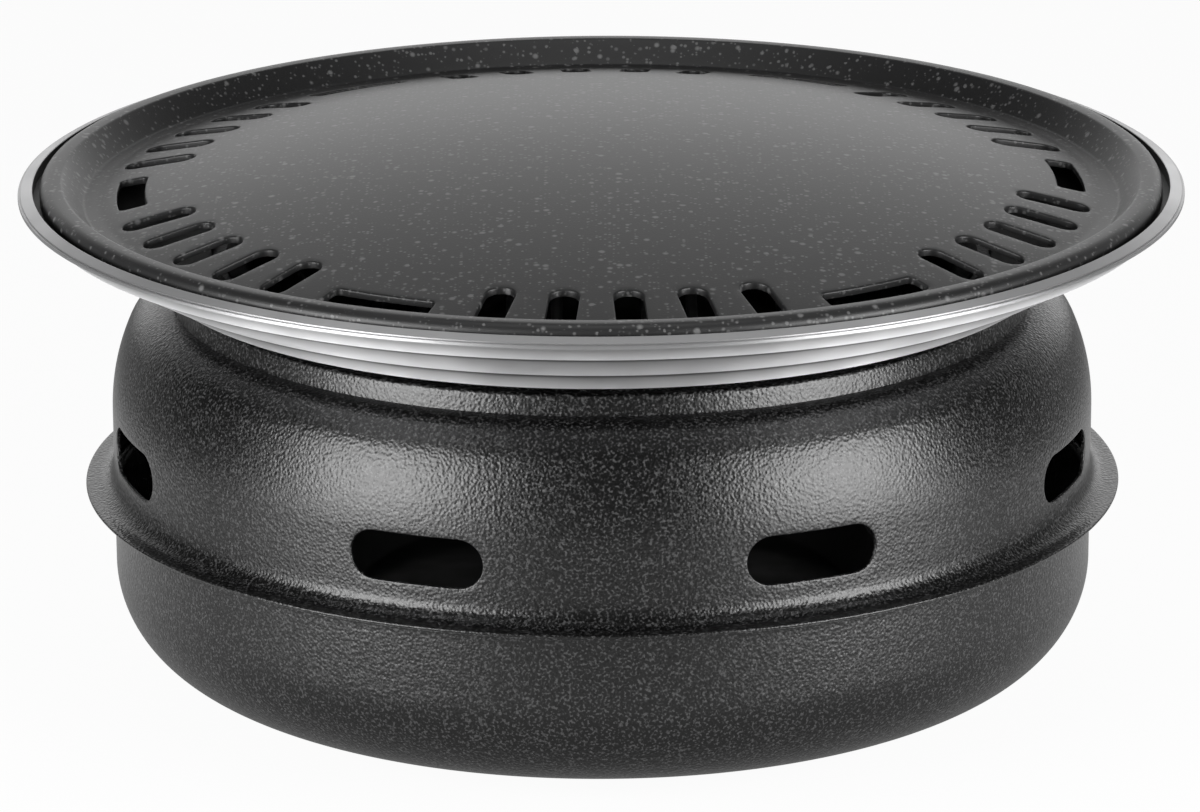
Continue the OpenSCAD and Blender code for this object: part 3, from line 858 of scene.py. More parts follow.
def hammered_paint(colours):
    """Glossy black paint that dries in small dimples, its pigment mottled in fine grains."""
    roughness = 0.31
    dimples_per_metre = 1050.0
    dimple_depth = 0.00014
    dimple_blur = 0.7
    wander = (0.0007, 0.0007, 0.0007)
    middle_grey = (0.5, 0.5, 0.5)
    grains_per_metre = 1.15 * dimples_per_metre
    grain_low = 0.52
    grain_high = 0.68
    material, tree, shader = new_finish("hammered_paint", colours.paint, 0.0, roughness)
    spot = object_coordinates(tree)
    drift = tree.nodes.new("ShaderNodeTexNoise")
    drift.inputs["Scale"].default_value = dimples_per_metre / 2
    tree.links.new(spot, drift.inputs["Vector"])
    centred = vector_maths(tree, "SUBTRACT", drift.outputs["Color"], middle_grey)
    moved = vector_maths(tree, "ADD", spot, vector_maths(tree, "MULTIPLY", centred, wander))
    cells = add(
        tree, "ShaderNodeTexVoronoi",
        {"Vector": moved, "Scale": dimples_per_metre, "Smoothness": dimple_blur}, feature="SMOOTH_F1",
    )
    grains = noise(tree, spot, grains_per_metre, detail=1.0)
    gathered = spread(tree, grains, grain_low, grain_high, 0.0, 1.0)
    tree.links.new(blend(tree, gathered, colours.paint, colours.pigment), shader.inputs["Base Color"])
    emboss(tree, shader, cells, dimple_depth)
    return material


def turned_aluminium(colours, tones, slope, inner_r):
    """Satin metal with the fine rings that the lathe leaves, with painted shade and light by its height and
    painted shade on its inner side.
    """
    low = tones[0][0]
    high = tones[-1][0]
    skin = 0.0012
    metal = 0.8
    smoothest = 0.4
    roughest = 0.48
    clouds_per_metre = 60.0
    marks_per_metre = 9000.0
    mark_depth = 0.00002
    mark_strength = 0.25
    highlight = 0.1
    highlight_stretch = 0.8
    quarter_turn = 0.25
    middling = (smoothest + roughest) / 2
    material, tree, shader = new_finish("turned_aluminium", colours.aluminium, metal, middling)
    shader.inputs["Specular IOR Level"].default_value = highlight
    shader.inputs["Anisotropic"].default_value = highlight_stretch
    shader.inputs["Anisotropic Rotation"].default_value = quarter_turn
    spot = object_coordinates(tree)
    apart = split(tree, spot)
    square_x = maths(tree, "MULTIPLY", apart["X"], apart["X"])
    square_y = maths(tree, "MULTIPLY", apart["Y"], apart["Y"])
    radius = maths(tree, "SQRT", maths(tree, "ADD", square_x, square_y))
    # painted shade and light: a ramp on height scales the colour, near-black under each step and pale at
    # each band's lower end
    ramp = tree.nodes.new("ShaderNodeValToRGB")
    tree.links.new(spread(tree, apart["Z"], low, high, 0.0, 1.0), ramp.inputs[0])
    stops = ramp.color_ramp.elements
    for height, _ in tones[1:-1]:
        stops.new((height - low) / (high - low))
    for stop, (_, tone) in zip(stops, tones):
        stop.color = (tone, tone, tone, 1.0)
    toned = blend(tree, ramp.outputs["Color"], (0.0, 0.0, 0.0), colours.aluminium)
    # painted shade: behind the outer face and inside the lip, the ring takes the near-black inner colour
    # and loses its metal
    foot_r, edge_r, foot_z, edge_z = slope
    face_z = spread(tree, radius, foot_r, edge_r, foot_z + skin, edge_z + skin)
    behind = maths(tree, "GREATER_THAN", apart["Z"], face_z)
    inside = maths(tree, "MULTIPLY", behind, maths(tree, "LESS_THAN", radius, inner_r))
    tree.links.new(blend(tree, inside, toned, colours.inner_painted_shade), shader.inputs["Base Color"])
    bright = maths(tree, "MULTIPLY", maths(tree, "SUBTRACT", 1.0, inside), metal)
    tree.links.new(bright, shader.inputs["Metallic"])
    place = add(tree, "ShaderNodeCombineXYZ", {"X": radius, "Z": apart["Z"]})
    emboss(tree, shader, noise(tree, place, marks_per_metre), mark_depth, mark_strength)
    vary_gloss(tree, shader, spot, clouds_per_metre, smoothest, roughest)
    tangent = add(tree, "ShaderNodeTangent", {}, direction_type="RADIAL", axis="Z")
    tree.links.new(tangent, shader.inputs["Tangent"])
    return material


def speckles(tree, spot, per_metre, cut, size):
    """A mask of small round specks, one in some of the cells."""
    soft_edge = 0.25
    cells = tree.nodes.new("ShaderNodeTexVoronoi")
    cells.inputs["Scale"].default_value = per_metre
    tree.links.new(spot, cells.inputs["Vector"])
    chance = split(tree, cells.outputs["Color"])["X"]
    reach = maths(tree, "MULTIPLY", maths(tree, "SUBTRACT", chance, cut), size)
    depth = maths(tree, "SUBTRACT", reach, cells.outputs["Distance"])
    return spread(tree, depth, 0.0, soft_edge, 0.0, 1.0)


def nonstick_coat(colours):
    """Dark grey non-stick coat with pale stone speckles."""
    roughness = 0.42
    fine_share = 0.5
    coarse_share = 0.65
    grains_per_metre = 1500.0
    grain_depth = 0.00005
    grain_strength = 0.5
    material, tree, shader = new_finish("nonstick_plate", colours.coating, 0.0, roughness)
    spot = object_coordinates(tree)
    fine = speckles(tree, spot, per_metre=800.0, cut=0.5, size=1.15)
    coarse = speckles(tree, spot, per_metre=380.0, cut=0.55, size=1.1)
    pale_fine = maths(tree, "MULTIPLY", fine, fine_share)
    pale_coarse = maths(tree, "MULTIPLY", coarse, coarse_share)
    specks = maths(tree, "MAXIMUM", pale_fine, pale_coarse)
    tree.links.new(blend(tree, specks, colours.coating, colours.speckle), shader.inputs["Base Color"])
    emboss(tree, shader, noise(tree, spot, grains_per_metre), grain_depth, grain_strength)
    return material


def plain_finish(name, base, metallic, smoothest, roughest):
    """A finish whose gloss varies a little from place to place."""
    clouds_per_metre = 90.0
    material, tree, shader = new_finish(name, base, metallic, smoothest)
    vary_gloss(tree, shader, object_coordinates(tree), clouds_per_metre, smoothest, roughest)
    return material


def finish(name):
    """A finish, made when it is first asked for."""
    made = bpy.data.materials.get(name)
    if made and made.get("grill_finish"):
        return made
    colours = bpy.context.scene.grill_colours
    makers = {
        "hammered_paint": hammered_paint, "turned_aluminium": ring_finish, "nonstick_plate": nonstick_coat,
    }
    # Colour, how metallic, and the smoothest and roughest place of each plain finish
    plain = {
        "fire_enamel": (colours.enamel, 0.0, 0.55, 0.7),
        "grate_iron": (colours.iron, 0.0, 0.6, 0.75),
        "shield_steel": (colours.steel, 1.0, 0.28, 0.4),
        "foot_rubber": (colours.rubber, 0.0, 0.7, 0.85),
        "zinc_fasteners": (colours.zinc, 1.0, 0.25, 0.35),
    }
    material = plain_finish(name, *plain[name]) if name in plain else makers[name](colours)
    material["grill_finish"] = True
    return material


# Pieces

def shoulder_at(size, height):
    """Radius of the shell's shoulder at a height above its foot."""
    curve = size.shoulder_r
    return size.wall_r - curve + math.sqrt(curve * curve - height * height)


def build_base(scene):
    """The base bowl: floor, rounded corner, wall and flange."""
    size = scene.grill_body
    low = bottom("base_bowl")
    high = top("base_bowl")
    flange_r = widest("base_bowl")
    sheet = size.sheet
    inner_r = size.wall_r - sheet
    profile = outline([
        (0.0, low), (size.wall_r, low, size.base_corner), (size.wall_r, high - sheet, size.flange_bend),
        (flange_r, high - sheet, size.edge), (flange_r, high, size.edge),
        (inner_r, high, size.flange_bend + sheet),
        (inner_r, low + sheet, size.base_corner - sheet), (0.0, low + sheet),
    ])
    paint = finish("hammered_paint")
    mesh = run_trees(profile_mesh("base_bowl", profile), [
        turning(paint), screw_drilling(paint, scene.grill_feet, low, sheet),
    ])
    new_piece("painted_base_bowl", mesh, "body", "hammered_paint", "base_bowl")


def build_shell(scene):
    """The upper shell: collar, flat, neck, round shoulder, wall with vents, and brim."""
    size = scene.grill_body
    sheet = size.sheet
    low = bottom("upper_shell")
    high = top("upper_shell")
    brim_r = widest("upper_shell")
    spring = high - size.shoulder_h
    neck_r = shoulder_at(size, size.shoulder_h) - size.neck_land
    wall_r = size.neck_wall_r
    ledge_r = wall_r - size.neck_taper
    ledge_z = high - size.neck_ledge
    step_r = ledge_r - size.neck_step
    bend = size.neck_bend
    centre = (size.wall_r - size.shoulder_r, spring)
    apart = size.shoulder_r - size.crest_r
    lean = math.acos((wall_r - centre[0]) / apart)
    crest = (wall_r, spring + apart * math.sin(lean))
    crest_z = crest[1] + size.crest_r
    upright = math.pi / 2
    face_parts = runs([
        (neck_r, high - size.collar_h), (neck_r, high, size.collar_bend), (step_r, high, bend),
        (step_r, ledge_z, bend), (ledge_r, ledge_z, bend), (wall_r, crest_z),
    ]) + [
        arc(crest, size.crest_r, upright, lean), arc(centre, size.shoulder_r, lean, 0.0),
    ] + runs([
        (size.wall_r, spring), (size.wall_r, low + sheet, size.brim_bend),
        (brim_r, low + sheet, size.edge), (brim_r, low + sheet / 2),
    ])
    back_parts = runs([
        (neck_r + sheet, high - size.collar_h), (neck_r + sheet, high - sheet, size.collar_bend - sheet),
        (step_r - sheet, high - sheet, bend - sheet), (step_r - sheet, ledge_z - sheet, bend + sheet),
        (ledge_r - sheet, ledge_z - sheet, bend - sheet), (wall_r - sheet, crest_z - sheet),
    ]) + [
        arc(crest, size.crest_r - sheet, upright, lean), arc(centre, size.shoulder_r - sheet, lean, 0.0),
    ] + runs([
        (size.wall_r - sheet, spring), (size.wall_r - sheet, low, size.brim_bend + sheet),
        (brim_r - 2 * size.edge, low), (brim_r - size.edge, low),
    ])
    shell = TurnedSheet(*paired(face_parts, back_parts, size.grid))
    loops = vent_loops(shell, size, scene.grill_vents, low)
    mesh = pierced_mesh("upper_shell", shell, loops, size.edge, size.grid)
    mesh.materials.append(finish("hammered_paint"))
    new_piece("painted_upper_shell", mesh, "body", "hammered_paint", "upper_shell")


def vent_loops(shell, size, vents, flange_z):
    """Outlines of the vents on the shell's wall, one function for each."""
    def loop_at(bearing):
        """Outline of the vent at a bearing."""
        def loop(grow):
            points = slot_outline(vents.width, vents.height, vents.height / 2, grow, size.grid)
            return [
                (shell.reach_at(flange_z + vents.rise + y, 1), bearing + math.asin(x / size.wall_r))
                for x, y in points
            ]
        return loop

    loops = []
    left_vent = vents.count - 2
    for i in range(vents.count):
        lag = vents.lag if i == left_vent else 0.0
        loops.append(loop_at(vents.turn - math.pi / 2 + FULL_TURN * i / vents.count - lag))
    return loops


def band_heights(size):
    """Heights of the lower ends of the ring's three bands, and of the lower side of its outer edge."""
    low = bottom("support_ring")
    ends = [low + size.falls[2] + size.falls[1], low + size.falls[2], low]
    return ends, ends[0] + size.falls[0]


def band_painted_shade(size):
    """Painted shade and light on the ring by height: each band is pale at its lower end, duller towards its
    top and painted near-black just under the step above it.
    """
    pale = 1.0
    soft = 0.5
    dull = 0.44
    dark = 0.13
    shade = 0.0009
    fade = 0.0022
    ends, edge_z = band_heights(size)
    groove_z = edge_z + size.edge_h
    # painted shade: a near-black line just under each step, fading to the band's pale lower end; the edge
    # and the lip are set darker than the bands' lower ends
    tones = [(ends[2], pale)]
    for step_z in (ends[1], ends[0]):
        tones += [(step_z - fade, dull), (step_z - shade, dark), (step_z, dark), (step_z + NEAR, pale)]
    tones += [(edge_z - shade, dull), (groove_z, dull), (groove_z + size.groove, soft)]
    return tones + [(top("support_ring"), soft)]


def ring_finish(colours):
    """The ring's finish, fitted to its section."""
    scene = bpy.context.scene
    size = scene.grill_ring
    ends, edge_z = band_heights(size)
    slope = (ring_foot_r(scene), size.outer_r, ends[2], edge_z)
    # the painted inner shade reaches out to the inner edge of the lip
    return turned_aluminium(colours, band_painted_shade(size), slope, size.outer_r - size.lip_w + NEAR)


def ring_skirt_r(scene):
    """Inner radius of the ring's lower edge, clear of the shoulder."""
    size = scene.grill_ring
    body = scene.grill_body
    return shoulder_at(body, body.shoulder_h - size.skirt) + size.skirt_gap


def ring_foot_r(scene):
    """Outer radius of the ring's lower edge."""
    return ring_skirt_r(scene) + scene.grill_ring.foot_w


def build_ring(scene):
    """The turned ring: lip, stepped bands, foot, seat and recess."""
    size = scene.grill_ring
    high = top("support_ring")
    low = bottom("support_ring")
    neck_z = low + size.skirt
    skirt_r = ring_skirt_r(scene)
    low_r = ring_foot_r(scene)
    fit = (size.outer_r - low_r) / sum(size.runs)
    band_run = [fit * run for run in size.runs]
    end_r = [size.outer_r - band_run[0], low_r + band_run[2], low_r]
    end_z, edge_z = band_heights(size)
    slopes = [fall / (run - size.step) for fall, run in zip(size.falls, band_run)]
    groove_r = size.outer_r - size.step
    groove_z = edge_z + size.edge_h
    recess_r = size.outer_r - size.lip_w
    seat_z = high - size.recess
    seat_r = recess_r - size.seat_w
    foot_z = neck_z + size.foot_t
    soft = size.edge_round
    fine = soft / 2

    def inner_face(i, r):
        """Height of a band's inner face at a radius."""
        return end_z[i] + size.wall + (r - end_r[i]) * slopes[i]

    profile = outline([
        (recess_r, seat_z), (recess_r, high, soft), (groove_r, groove_z + size.groove, fine),
        (groove_r, groove_z), (size.outer_r, groove_z, soft), (size.outer_r, edge_z, soft),
        (groove_r, edge_z), (end_r[0], end_z[0], soft), (end_r[0] - size.step, end_z[0]),
        (end_r[1], end_z[1], soft), (end_r[1] - size.step, end_z[1]), (end_r[2], end_z[2], soft),
        (skirt_r, low, soft), (skirt_r, neck_z), (size.bore_r, neck_z, soft), (size.bore_r, foot_z, soft),
        (end_r[2] + (foot_z - inner_face(2, end_r[2])) / slopes[2], foot_z, 2 * soft),
        (end_r[1], inner_face(1, end_r[1]), 2 * soft), (seat_r, inner_face(1, seat_r)),
        (seat_r, seat_z, soft), (recess_r, seat_z),
    ])
    mesh = run_trees(profile_mesh("support_ring", profile[:-1]), [turning(finish("turned_aluminium"))])
    new_piece("turned_support_ring", mesh, "support_ring", "turned_aluminium", "support_ring")


def plate_sheet(size, seat_z):
    """Face and back of the plate from its centre to its rim, and the radius of the dome."""
    rim_z = seat_z + size.rim_h
    gutter_z = rim_z - size.depth
    under_z = gutter_z - size.thickness
    rim_in_r = size.outer_r - size.rim_w
    gutter_r = rim_in_r - size.wall_run
    dome_r = gutter_r - size.gutter_w
    curve = (dome_r * dome_r + size.dome_h * size.dome_h) / (2 * size.dome_h)
    toe_curve = curve + size.toe_r
    toe_mid_r = math.sqrt(size.dome_h * (2 * toe_curve - size.dome_h))
    lean = math.asin(toe_mid_r / toe_curve)
    upright = math.pi / 2
    dome_parts = [
        arc((0.0, gutter_z + size.dome_h - curve), curve, upright, upright - lean),
        arc((toe_mid_r, gutter_z + size.toe_r), size.toe_r, -upright - lean, -upright),
    ]
    under_parts = [[(r, z - size.thickness) for r, z in part] for part in dome_parts]
    wall_len = math.hypot(size.wall_run, size.depth)
    wall_under_r = gutter_r + size.thickness * (wall_len - size.wall_run) / size.depth
    seat_under_r = wall_under_r + (seat_z - under_z) * size.wall_run / size.depth
    chamfer = size.rim_edge / 3
    face_parts = dome_parts + runs([
        (toe_mid_r, gutter_z), (gutter_r, gutter_z, size.crease), (rim_in_r, rim_z, size.rim_edge),
        (size.outer_r, rim_z, size.rim_round), (size.outer_r, seat_z + chamfer),
    ])
    back_parts = under_parts + runs([
        (toe_mid_r, under_z), (wall_under_r, under_z, size.crease), (seat_under_r, seat_z, size.rim_edge),
        (size.outer_r - size.rim_round, seat_z), (size.outer_r - chamfer, seat_z),
    ])
    return TurnedSheet(*paired(face_parts, back_parts, size.grid)), dome_r


def plate_loops(plate, size, slots, dome_r):
    """Outlines of the radial and curved slots, one function for each."""
    def radial(bearing):
        """Outline of a radial slot at a bearing."""
        middle = dome_r - slots.inset - slots.span / 2

        def loop(grow):
            points = slot_outline(slots.span, slots.width, slots.width / 2, grow, size.grid)
            return [
                (plate.reach_at(math.hypot(middle + x, y), 0), bearing + math.atan2(y, middle + x))
                for x, y in points
            ]
        return loop

    def curved(bearing):
        """Outline of a curved slot at a bearing."""
        middle = dome_r - slots.arc_inset - slots.arc_w / 2
        span = slots.arc_span * middle

        def loop(grow):
            points = slot_outline(slots.arc_w, span, slots.arc_corner, grow, size.grid)
            return [(plate.reach_at(middle + x, 0), bearing + y / middle) for x, y in points]
        return loop

    loops = []
    for group in range(slots.groups):
        front = size.turn - math.pi / 2 + FULL_TURN * group / slots.groups
        for i in range(slots.each):
            loops.append(radial(front + (i - (slots.each - 1) / 2) * slots.pitch))
        loops.append(curved(front + math.pi / slots.groups))
    return loops


def build_plate(scene):
    """The cast plate: rim, gutter and dome, with slots through the dome's side."""
    size = scene.grill_plate
    slots = scene.grill_slots
    plate, dome_r = plate_sheet(size, top("support_ring") - scene.grill_ring.recess)
    loops = plate_loops(plate, size, slots, dome_r)
    mesh = pierced_mesh("grill_plate", plate, loops, slots.edge, size.grid)
    mesh.materials.append(finish("nonstick_plate"))
    new_piece("coated_grill_plate", mesh, "grill_plate", "nonstick_plate", "grill_plate")


def bowl_radii(scene):
    """Outer radii of the charcoal bowl at the neck, above the grate's step, below it and at the floor."""
    size = scene.grill_fire
    body = scene.grill_body
    neck = shoulder_at(body, body.shoulder_h) - body.neck_land - size.neck_gap
    upper = neck - size.taper
    lower = upper - size.step_w
    return neck, upper, lower, lower - size.floor_taper


def build_fire_bowl(scene):
    """The charcoal bowl, hung by its rim, with a step for the grate and air holes."""
    size = scene.grill_fire
    sheet = size.sheet
    neck, upper, lower, floor_r = bowl_radii(scene)
    low = bottom("fire_bowl")
    high = top("fire_bowl")
    rim_r = widest("fire_bowl")
    step_z = low + size.step_h
    soft = size.bend
    edge = sheet / 4
    profile = outline([
        (0.0, low), (floor_r, low, soft + sheet), (lower, step_z, soft), (upper, step_z, soft + sheet),
        (neck, high - sheet, soft), (rim_r, high - sheet, edge), (rim_r, high, edge),
        (neck - sheet, high, soft + sheet), (upper - sheet, step_z + sheet, soft),
        (lower - sheet, step_z + sheet, soft + sheet), (floor_r - sheet, low + sheet, soft),
        (0.0, low + sheet),
    ])
    enamel = finish("fire_enamel")
    steps = [turning(enamel, INNER_SEGMENTS)]
    depth = DRILL_SHEETS * sheet
    more_each_ring = 6
    for ring in range(math.floor((floor_r - 2 * size.hole_r) / size.hole_pitch) + 1):
        count = max(1, more_each_ring * ring)
        steps.append(drilling(enamel, count, ring * size.hole_pitch, low, size.hole_r, depth))
    wall_z = (top("charcoal_grate") - size.grate_h + high - sheet - scene.grill_body.collar_h) / 2
    wall_r = (upper + neck) / 2
    sideways = math.pi / 2
    steps.append(drilling(enamel, size.wall_holes, wall_r, wall_z, size.hole_r, 2 * depth, tilt=sideways))
    mesh = run_trees(profile_mesh("fire_bowl", profile), steps)
    new_piece("enamelled_fire_bowl", mesh, "fire_bowl", "fire_enamel", "fire_bowl")


def build_grate(scene):
    """The charcoal grate: a hoop with parallel bars and one across them."""
    size = scene.grill_fire
    low = bottom("charcoal_grate")
    outer = widest("charcoal_grate")
    thick = size.grate_h
    soft = thick / 5
    hoop = outline([
        (outer - thick / 2, low), (outer, low, soft), (outer, low + thick, soft),
        (outer - thick, low + thick, soft), (outer - thick, low, soft), (outer - thick / 2, low),
    ])
    iron = finish("grate_iron")
    middle = outer - thick / 2
    bars = 2 * math.floor((middle - thick) / size.bar_pitch) + 1
    mesh = run_trees(profile_mesh("charcoal_grate", hoop[:-1]), [
        turning(iron, INNER_SEGMENTS),
        (tree_named("bar_grate"), {
            "Bars": bars, "Pitch": size.bar_pitch, "Hoop Radius": middle,
            "Bar Radius": thick / 2 * size.bar_share, "Height": low + thick / 2, "Material": iron,
        }),
    ])
    new_piece("iron_charcoal_grate", mesh, "charcoal_grate", "grate_iron", "charcoal_grate")


def build_tray(scene):
    """The ash tray and the heat shield under it."""
    size = scene.grill_fire
    sheet = size.sheet
    enamel = finish("fire_enamel")
    steel = finish("shield_steel")
    soft = size.bend
    edge = sheet / 4
    low = bottom("ash_tray")
    high = top("ash_tray")
    rim_r = widest("ash_tray")
    floor_r = rim_r - size.tray_flare
    tray = outline([
        (0.0, low), (floor_r, low, soft + sheet), (rim_r, high, edge), (rim_r - sheet, high, edge),
        (floor_r - sheet, low + sheet, soft), (0.0, low + sheet),
    ])
    mesh = run_trees(profile_mesh("ash_tray", tray), [turning(enamel, INNER_SEGMENTS)])
    new_piece("enamelled_ash_tray", mesh, "ash_tray", "fire_enamel", "ash_tray")
    low = bottom("heat_shield")
    high = top("heat_shield")
    rim_r = widest("heat_shield")
    shield = outline([
        (0.0, low), (rim_r, low, soft + sheet), (rim_r, high, edge), (rim_r - sheet, high, edge),
        (rim_r - sheet, low + sheet, soft), (0.0, low + sheet),
    ])
    mesh = run_trees(profile_mesh("heat_shield", shield), [
        turning(steel, INNER_SEGMENTS), screw_drilling(steel, scene.grill_feet, low, sheet),
    ])
    new_piece("steel_heat_shield", mesh, "body", "shield_steel", "heat_shield")


def tube_profile(outer, bore, low, high, edge):
    """Closed outline of a tube with rounded edges."""
    middle = (outer + bore) / 2
    return outline([
        (middle, low), (outer, low, edge), (outer, high, edge), (bore, high, edge), (bore, low, edge),
        (middle, low),
    ])[:-1]


def build_feet(scene):
    """Four rubber feet with a recess for the screws, and the spacers above the floor."""
    size = scene.grill_feet
    foot_low, foot_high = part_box("foot_1")
    foot_r = (foot_high.x - foot_low.x) / 2
    low = foot_low.z
    high = foot_high.z
    recess_z = low + size.recess_h
    soft = size.foot_round
    foot = outline([
        (size.hole_r, recess_z), (size.recess_r, recess_z), (size.recess_r, low, soft / 2),
        (foot_r - size.taper, low, soft), (foot_r, high, soft / 2), (size.hole_r, high),
    ])
    mesh = on_each_foot("feet", foot, finish("foot_rubber"), size.count)
    feet = ("foot_1", "foot_2", "foot_3", "foot_4")
    new_piece("rubber_feet", mesh, "body", "foot_rubber", *feet)
    spacer = tube_profile(size.spacer_r, size.hole_r, bottom("spacer_1"), top("spacer_1"), size.edge)
    mesh = on_each_foot("spacers", spacer, finish("shield_steel"), size.count)
    spacers = ("spacer_1", "spacer_2", "spacer_3", "spacer_4")
    new_piece("steel_spacers", mesh, "body", "shield_steel", *spacers)


def build_fasteners(scene):
    """The screws, washers and nuts that hold feet, base, spacers and shield together."""
    size = scene.grill_feet
    zinc = finish("zinc_fasteners")
    low = bottom("foot_screws")
    high = top("foot_screws")
    head_z = low + size.head_h
    screw = outline([
        (0.0, low), (size.head_r, low, size.head_h / 2), (size.head_r, head_z, size.edge),
        (size.screw_r, head_z), (size.screw_r, high, 2 * size.edge), (0.0, high),
    ])
    profiles = {"foot_screws": screw}
    for node in ("foot_washers", "shield_washers"):
        profiles[node] = tube_profile(size.washer_r, size.hole_r, bottom(node), top(node), size.edge)
    for node, profile in profiles.items():
        mesh = on_each_foot(node, profile, zinc, size.count)
        new_piece("zinc_" + node, mesh, "body", "zinc_fasteners", node)
    nut_sides = 6
    corner_r = size.nut_af / 2 / math.cos(math.pi / nut_sides)
    nut = tube_profile(corner_r, size.nut_bore, bottom("shield_nuts"), top("shield_nuts"), size.edge)
    mesh = on_each_foot("shield_nuts", nut, zinc, size.count, nut_sides)
    new_piece("zinc_shield_nuts", mesh, "body", "zinc_fasteners", "shield_nuts")


# Stage

def new_softbox(name, bearing, elevation, distance, width, height, power, aim_z):
    """A rectangular lamp that looks at the grill; bearings are counted from the front to the right."""
    data = bpy.data.lights.new(name, "AREA")
    data.shape = "RECTANGLE"
    data.size = width
    data.size_y = height
    data.energy = power
    lamp = bpy.data.objects.new(name, data)
    level = math.cos(elevation)
    away = Vector((math.sin(bearing) * level, -math.cos(bearing) * level, math.sin(elevation)))
    lamp.location = Vector((0.0, 0.0, aim_z)) + away * distance
    lamp.rotation_euler = away.to_track_quat("Z", "Y").to_euler()
    bpy.context.scene.collection.objects.link(lamp)


def build_world(scene):
    """White to the camera; to the object, a studio with a bright panel behind and little else."""
    front_level = 0.08
    front_end = 0.4
    back_level = 1.95
    back_start = 0.95
    top_share = 0.3
    top_start = 0.65
    left_share = 0.83
    right_share = 1.13
    side_share = 0.45
    panel_end = 0.3
    side_start = 0.6
    white = (1.0, 1.0, 1.0, 1.0)
    world = bpy.data.worlds.new("studio")
    scene.world = world
    world.use_nodes = True
    tree = world.node_tree
    tree.nodes.clear()
    apart = split(tree, tree.nodes.new("ShaderNodeTexCoord").outputs["Generated"])
    level = spread(tree, apart["Y"], front_end, back_start, front_level, back_level)
    fade = spread(tree, apart["Z"], 0.0, top_start, 1.0, top_share)
    lean = spread(tree, apart["X"], -side_start, side_start, left_share, right_share)
    width = spread(tree, maths(tree, "ABSOLUTE", apart["X"]), panel_end, side_start, 1.0, side_share)
    upright = maths(tree, "MULTIPLY", level, fade)
    studio = maths(tree, "MULTIPLY", upright, maths(tree, "MULTIPLY", lean, width))
    paths = tree.nodes.new("ShaderNodeLightPath")
    strength = maths(tree, "MAXIMUM", studio, paths.outputs["Is Camera Ray"])
    glow = add(tree, "ShaderNodeBackground", {"Color": white, "Strength": strength})
    tree.links.new(glow, tree.nodes.new("ShaderNodeOutputWorld").inputs["Surface"])


def fade_round(tree, centre, near, far, near_level, far_level):
    """A level that changes with the distance from a point."""
    gap = tree.nodes.new("ShaderNodeVectorMath")
    gap.operation = "DISTANCE"
    tree.links.new(object_coordinates(tree), gap.inputs[0])
    gap.inputs[1].default_value = centre
    return spread(tree, gap.outputs["Value"], near, far, near_level, far_level)


def build_floor(size):
    """A pale floor, nearly white to the camera, that keeps the shadow; to glossy rays it glows with a
    painted pool of light, a painted contact shadow and painted reflections of the softboxes.
    """
    middle = (0.0, 0.0, 0.0)
    pale = (0.85, 0.85, 0.85)
    white = (1.0, 1.0, 1.0, 1.0)
    roughness = 0.9
    glow_share = 0.95
    mirror_r = 0.75
    mirror_near = 0.1
    mirror_far = 0.42
    mirror_level = 9.5
    half = size.floor_w / 2
    corners = [(-half, -half, 0.0), (half, -half, 0.0), (half, half, 0.0), (-half, half, 0.0)]
    mesh = bpy.data.meshes.new("floor")
    mesh.from_pydata(corners, [], [(0, 1, 2, 3)])
    material, tree, shader = new_finish("floor", pale, 0.0, roughness)
    shader.inputs["Specular IOR Level"].default_value = 0.0
    # painted light and painted shadow: the glow that glossy rays see is brightest in a ring round the grill
    # and dark close under it, as its contact shadow
    painted_light_pool = fade_round(tree, middle, near=0.3, far=0.6, near_level=0.8, far_level=0.25)
    shade = fade_round(tree, middle, near=0.13, far=0.25, near_level=0.45, far_level=1.0)
    painted_floor_glow = maths(tree, "MULTIPLY", painted_light_pool, shade)
    # painted reflections: a bright glowing patch beyond each softbox stands for that softbox seen in the
    # floor
    for bearing in (size.left_bearing, size.right_bearing):
        centre = (mirror_r * math.sin(bearing), -mirror_r * math.cos(bearing), 0.0)
        painted_softbox_reflection = fade_round(tree, centre, mirror_near, mirror_far, mirror_level, 0.0)
        painted_floor_glow = maths(tree, "ADD", painted_floor_glow, painted_softbox_reflection)
    paths = tree.nodes.new("ShaderNodeLightPath").outputs
    strength = maths(tree, "MAXIMUM", paths["Is Camera Ray"], painted_floor_glow)
    glow = add(tree, "ShaderNodeEmission", {"Color": white, "Strength": strength})
    seen = maths(tree, "MAXIMUM", paths["Is Camera Ray"], paths["Is Glossy Ray"])
    share = maths(tree, "MULTIPLY", seen, glow_share)
    both = add(tree, "ShaderNodeMixShader", {0: share, 1: shader.outputs["BSDF"], 2: glow})
    tree.links.new(both, tree.nodes["Material Output"].inputs["Surface"])
    mesh.materials.append(material)
    floor = bpy.data.objects.new("floor", mesh)
    bpy.context.scene.collection.objects.link(floor)


def build_stage(scene):
    """Floor, studio light and the camera."""
    size = scene.grill_studio
    scene.view_settings.view_transform = "Standard"
    build_world(scene)
    build_floor(size)
    for side, bearing in (("left", size.left_bearing), ("right", size.right_bearing)):
        new_softbox(
            side + "_softbox", bearing, elevation=math.radians(12.6), distance=1.3, width=0.85, height=0.7,
            power=20.0, aim_z=size.aim_z,
        )
    new_softbox(
        "top_softbox", bearing=0.0, elevation=math.radians(88), distance=1.8, width=1.2, height=1.2,
        power=5.0, aim_z=size.aim_z,
    )
    data = bpy.data.cameras.new("camera")
    data.lens = size.lens
    camera = bpy.data.objects.new("camera", data)
    away = Vector((0.0, -math.cos(size.elevation), math.sin(size.elevation)))
    camera.location = Vector((0.0, 0.0, size.aim_z)) + away * size.distance
    camera.rotation_mode = "ZXY"
    camera.rotation_euler = (math.pi / 2 - size.elevation, 0.0, size.roll)
    data.shift_x = size.shift
    scene.collection.objects.link(camera)
    scene.camera = camera


# Operators and panel

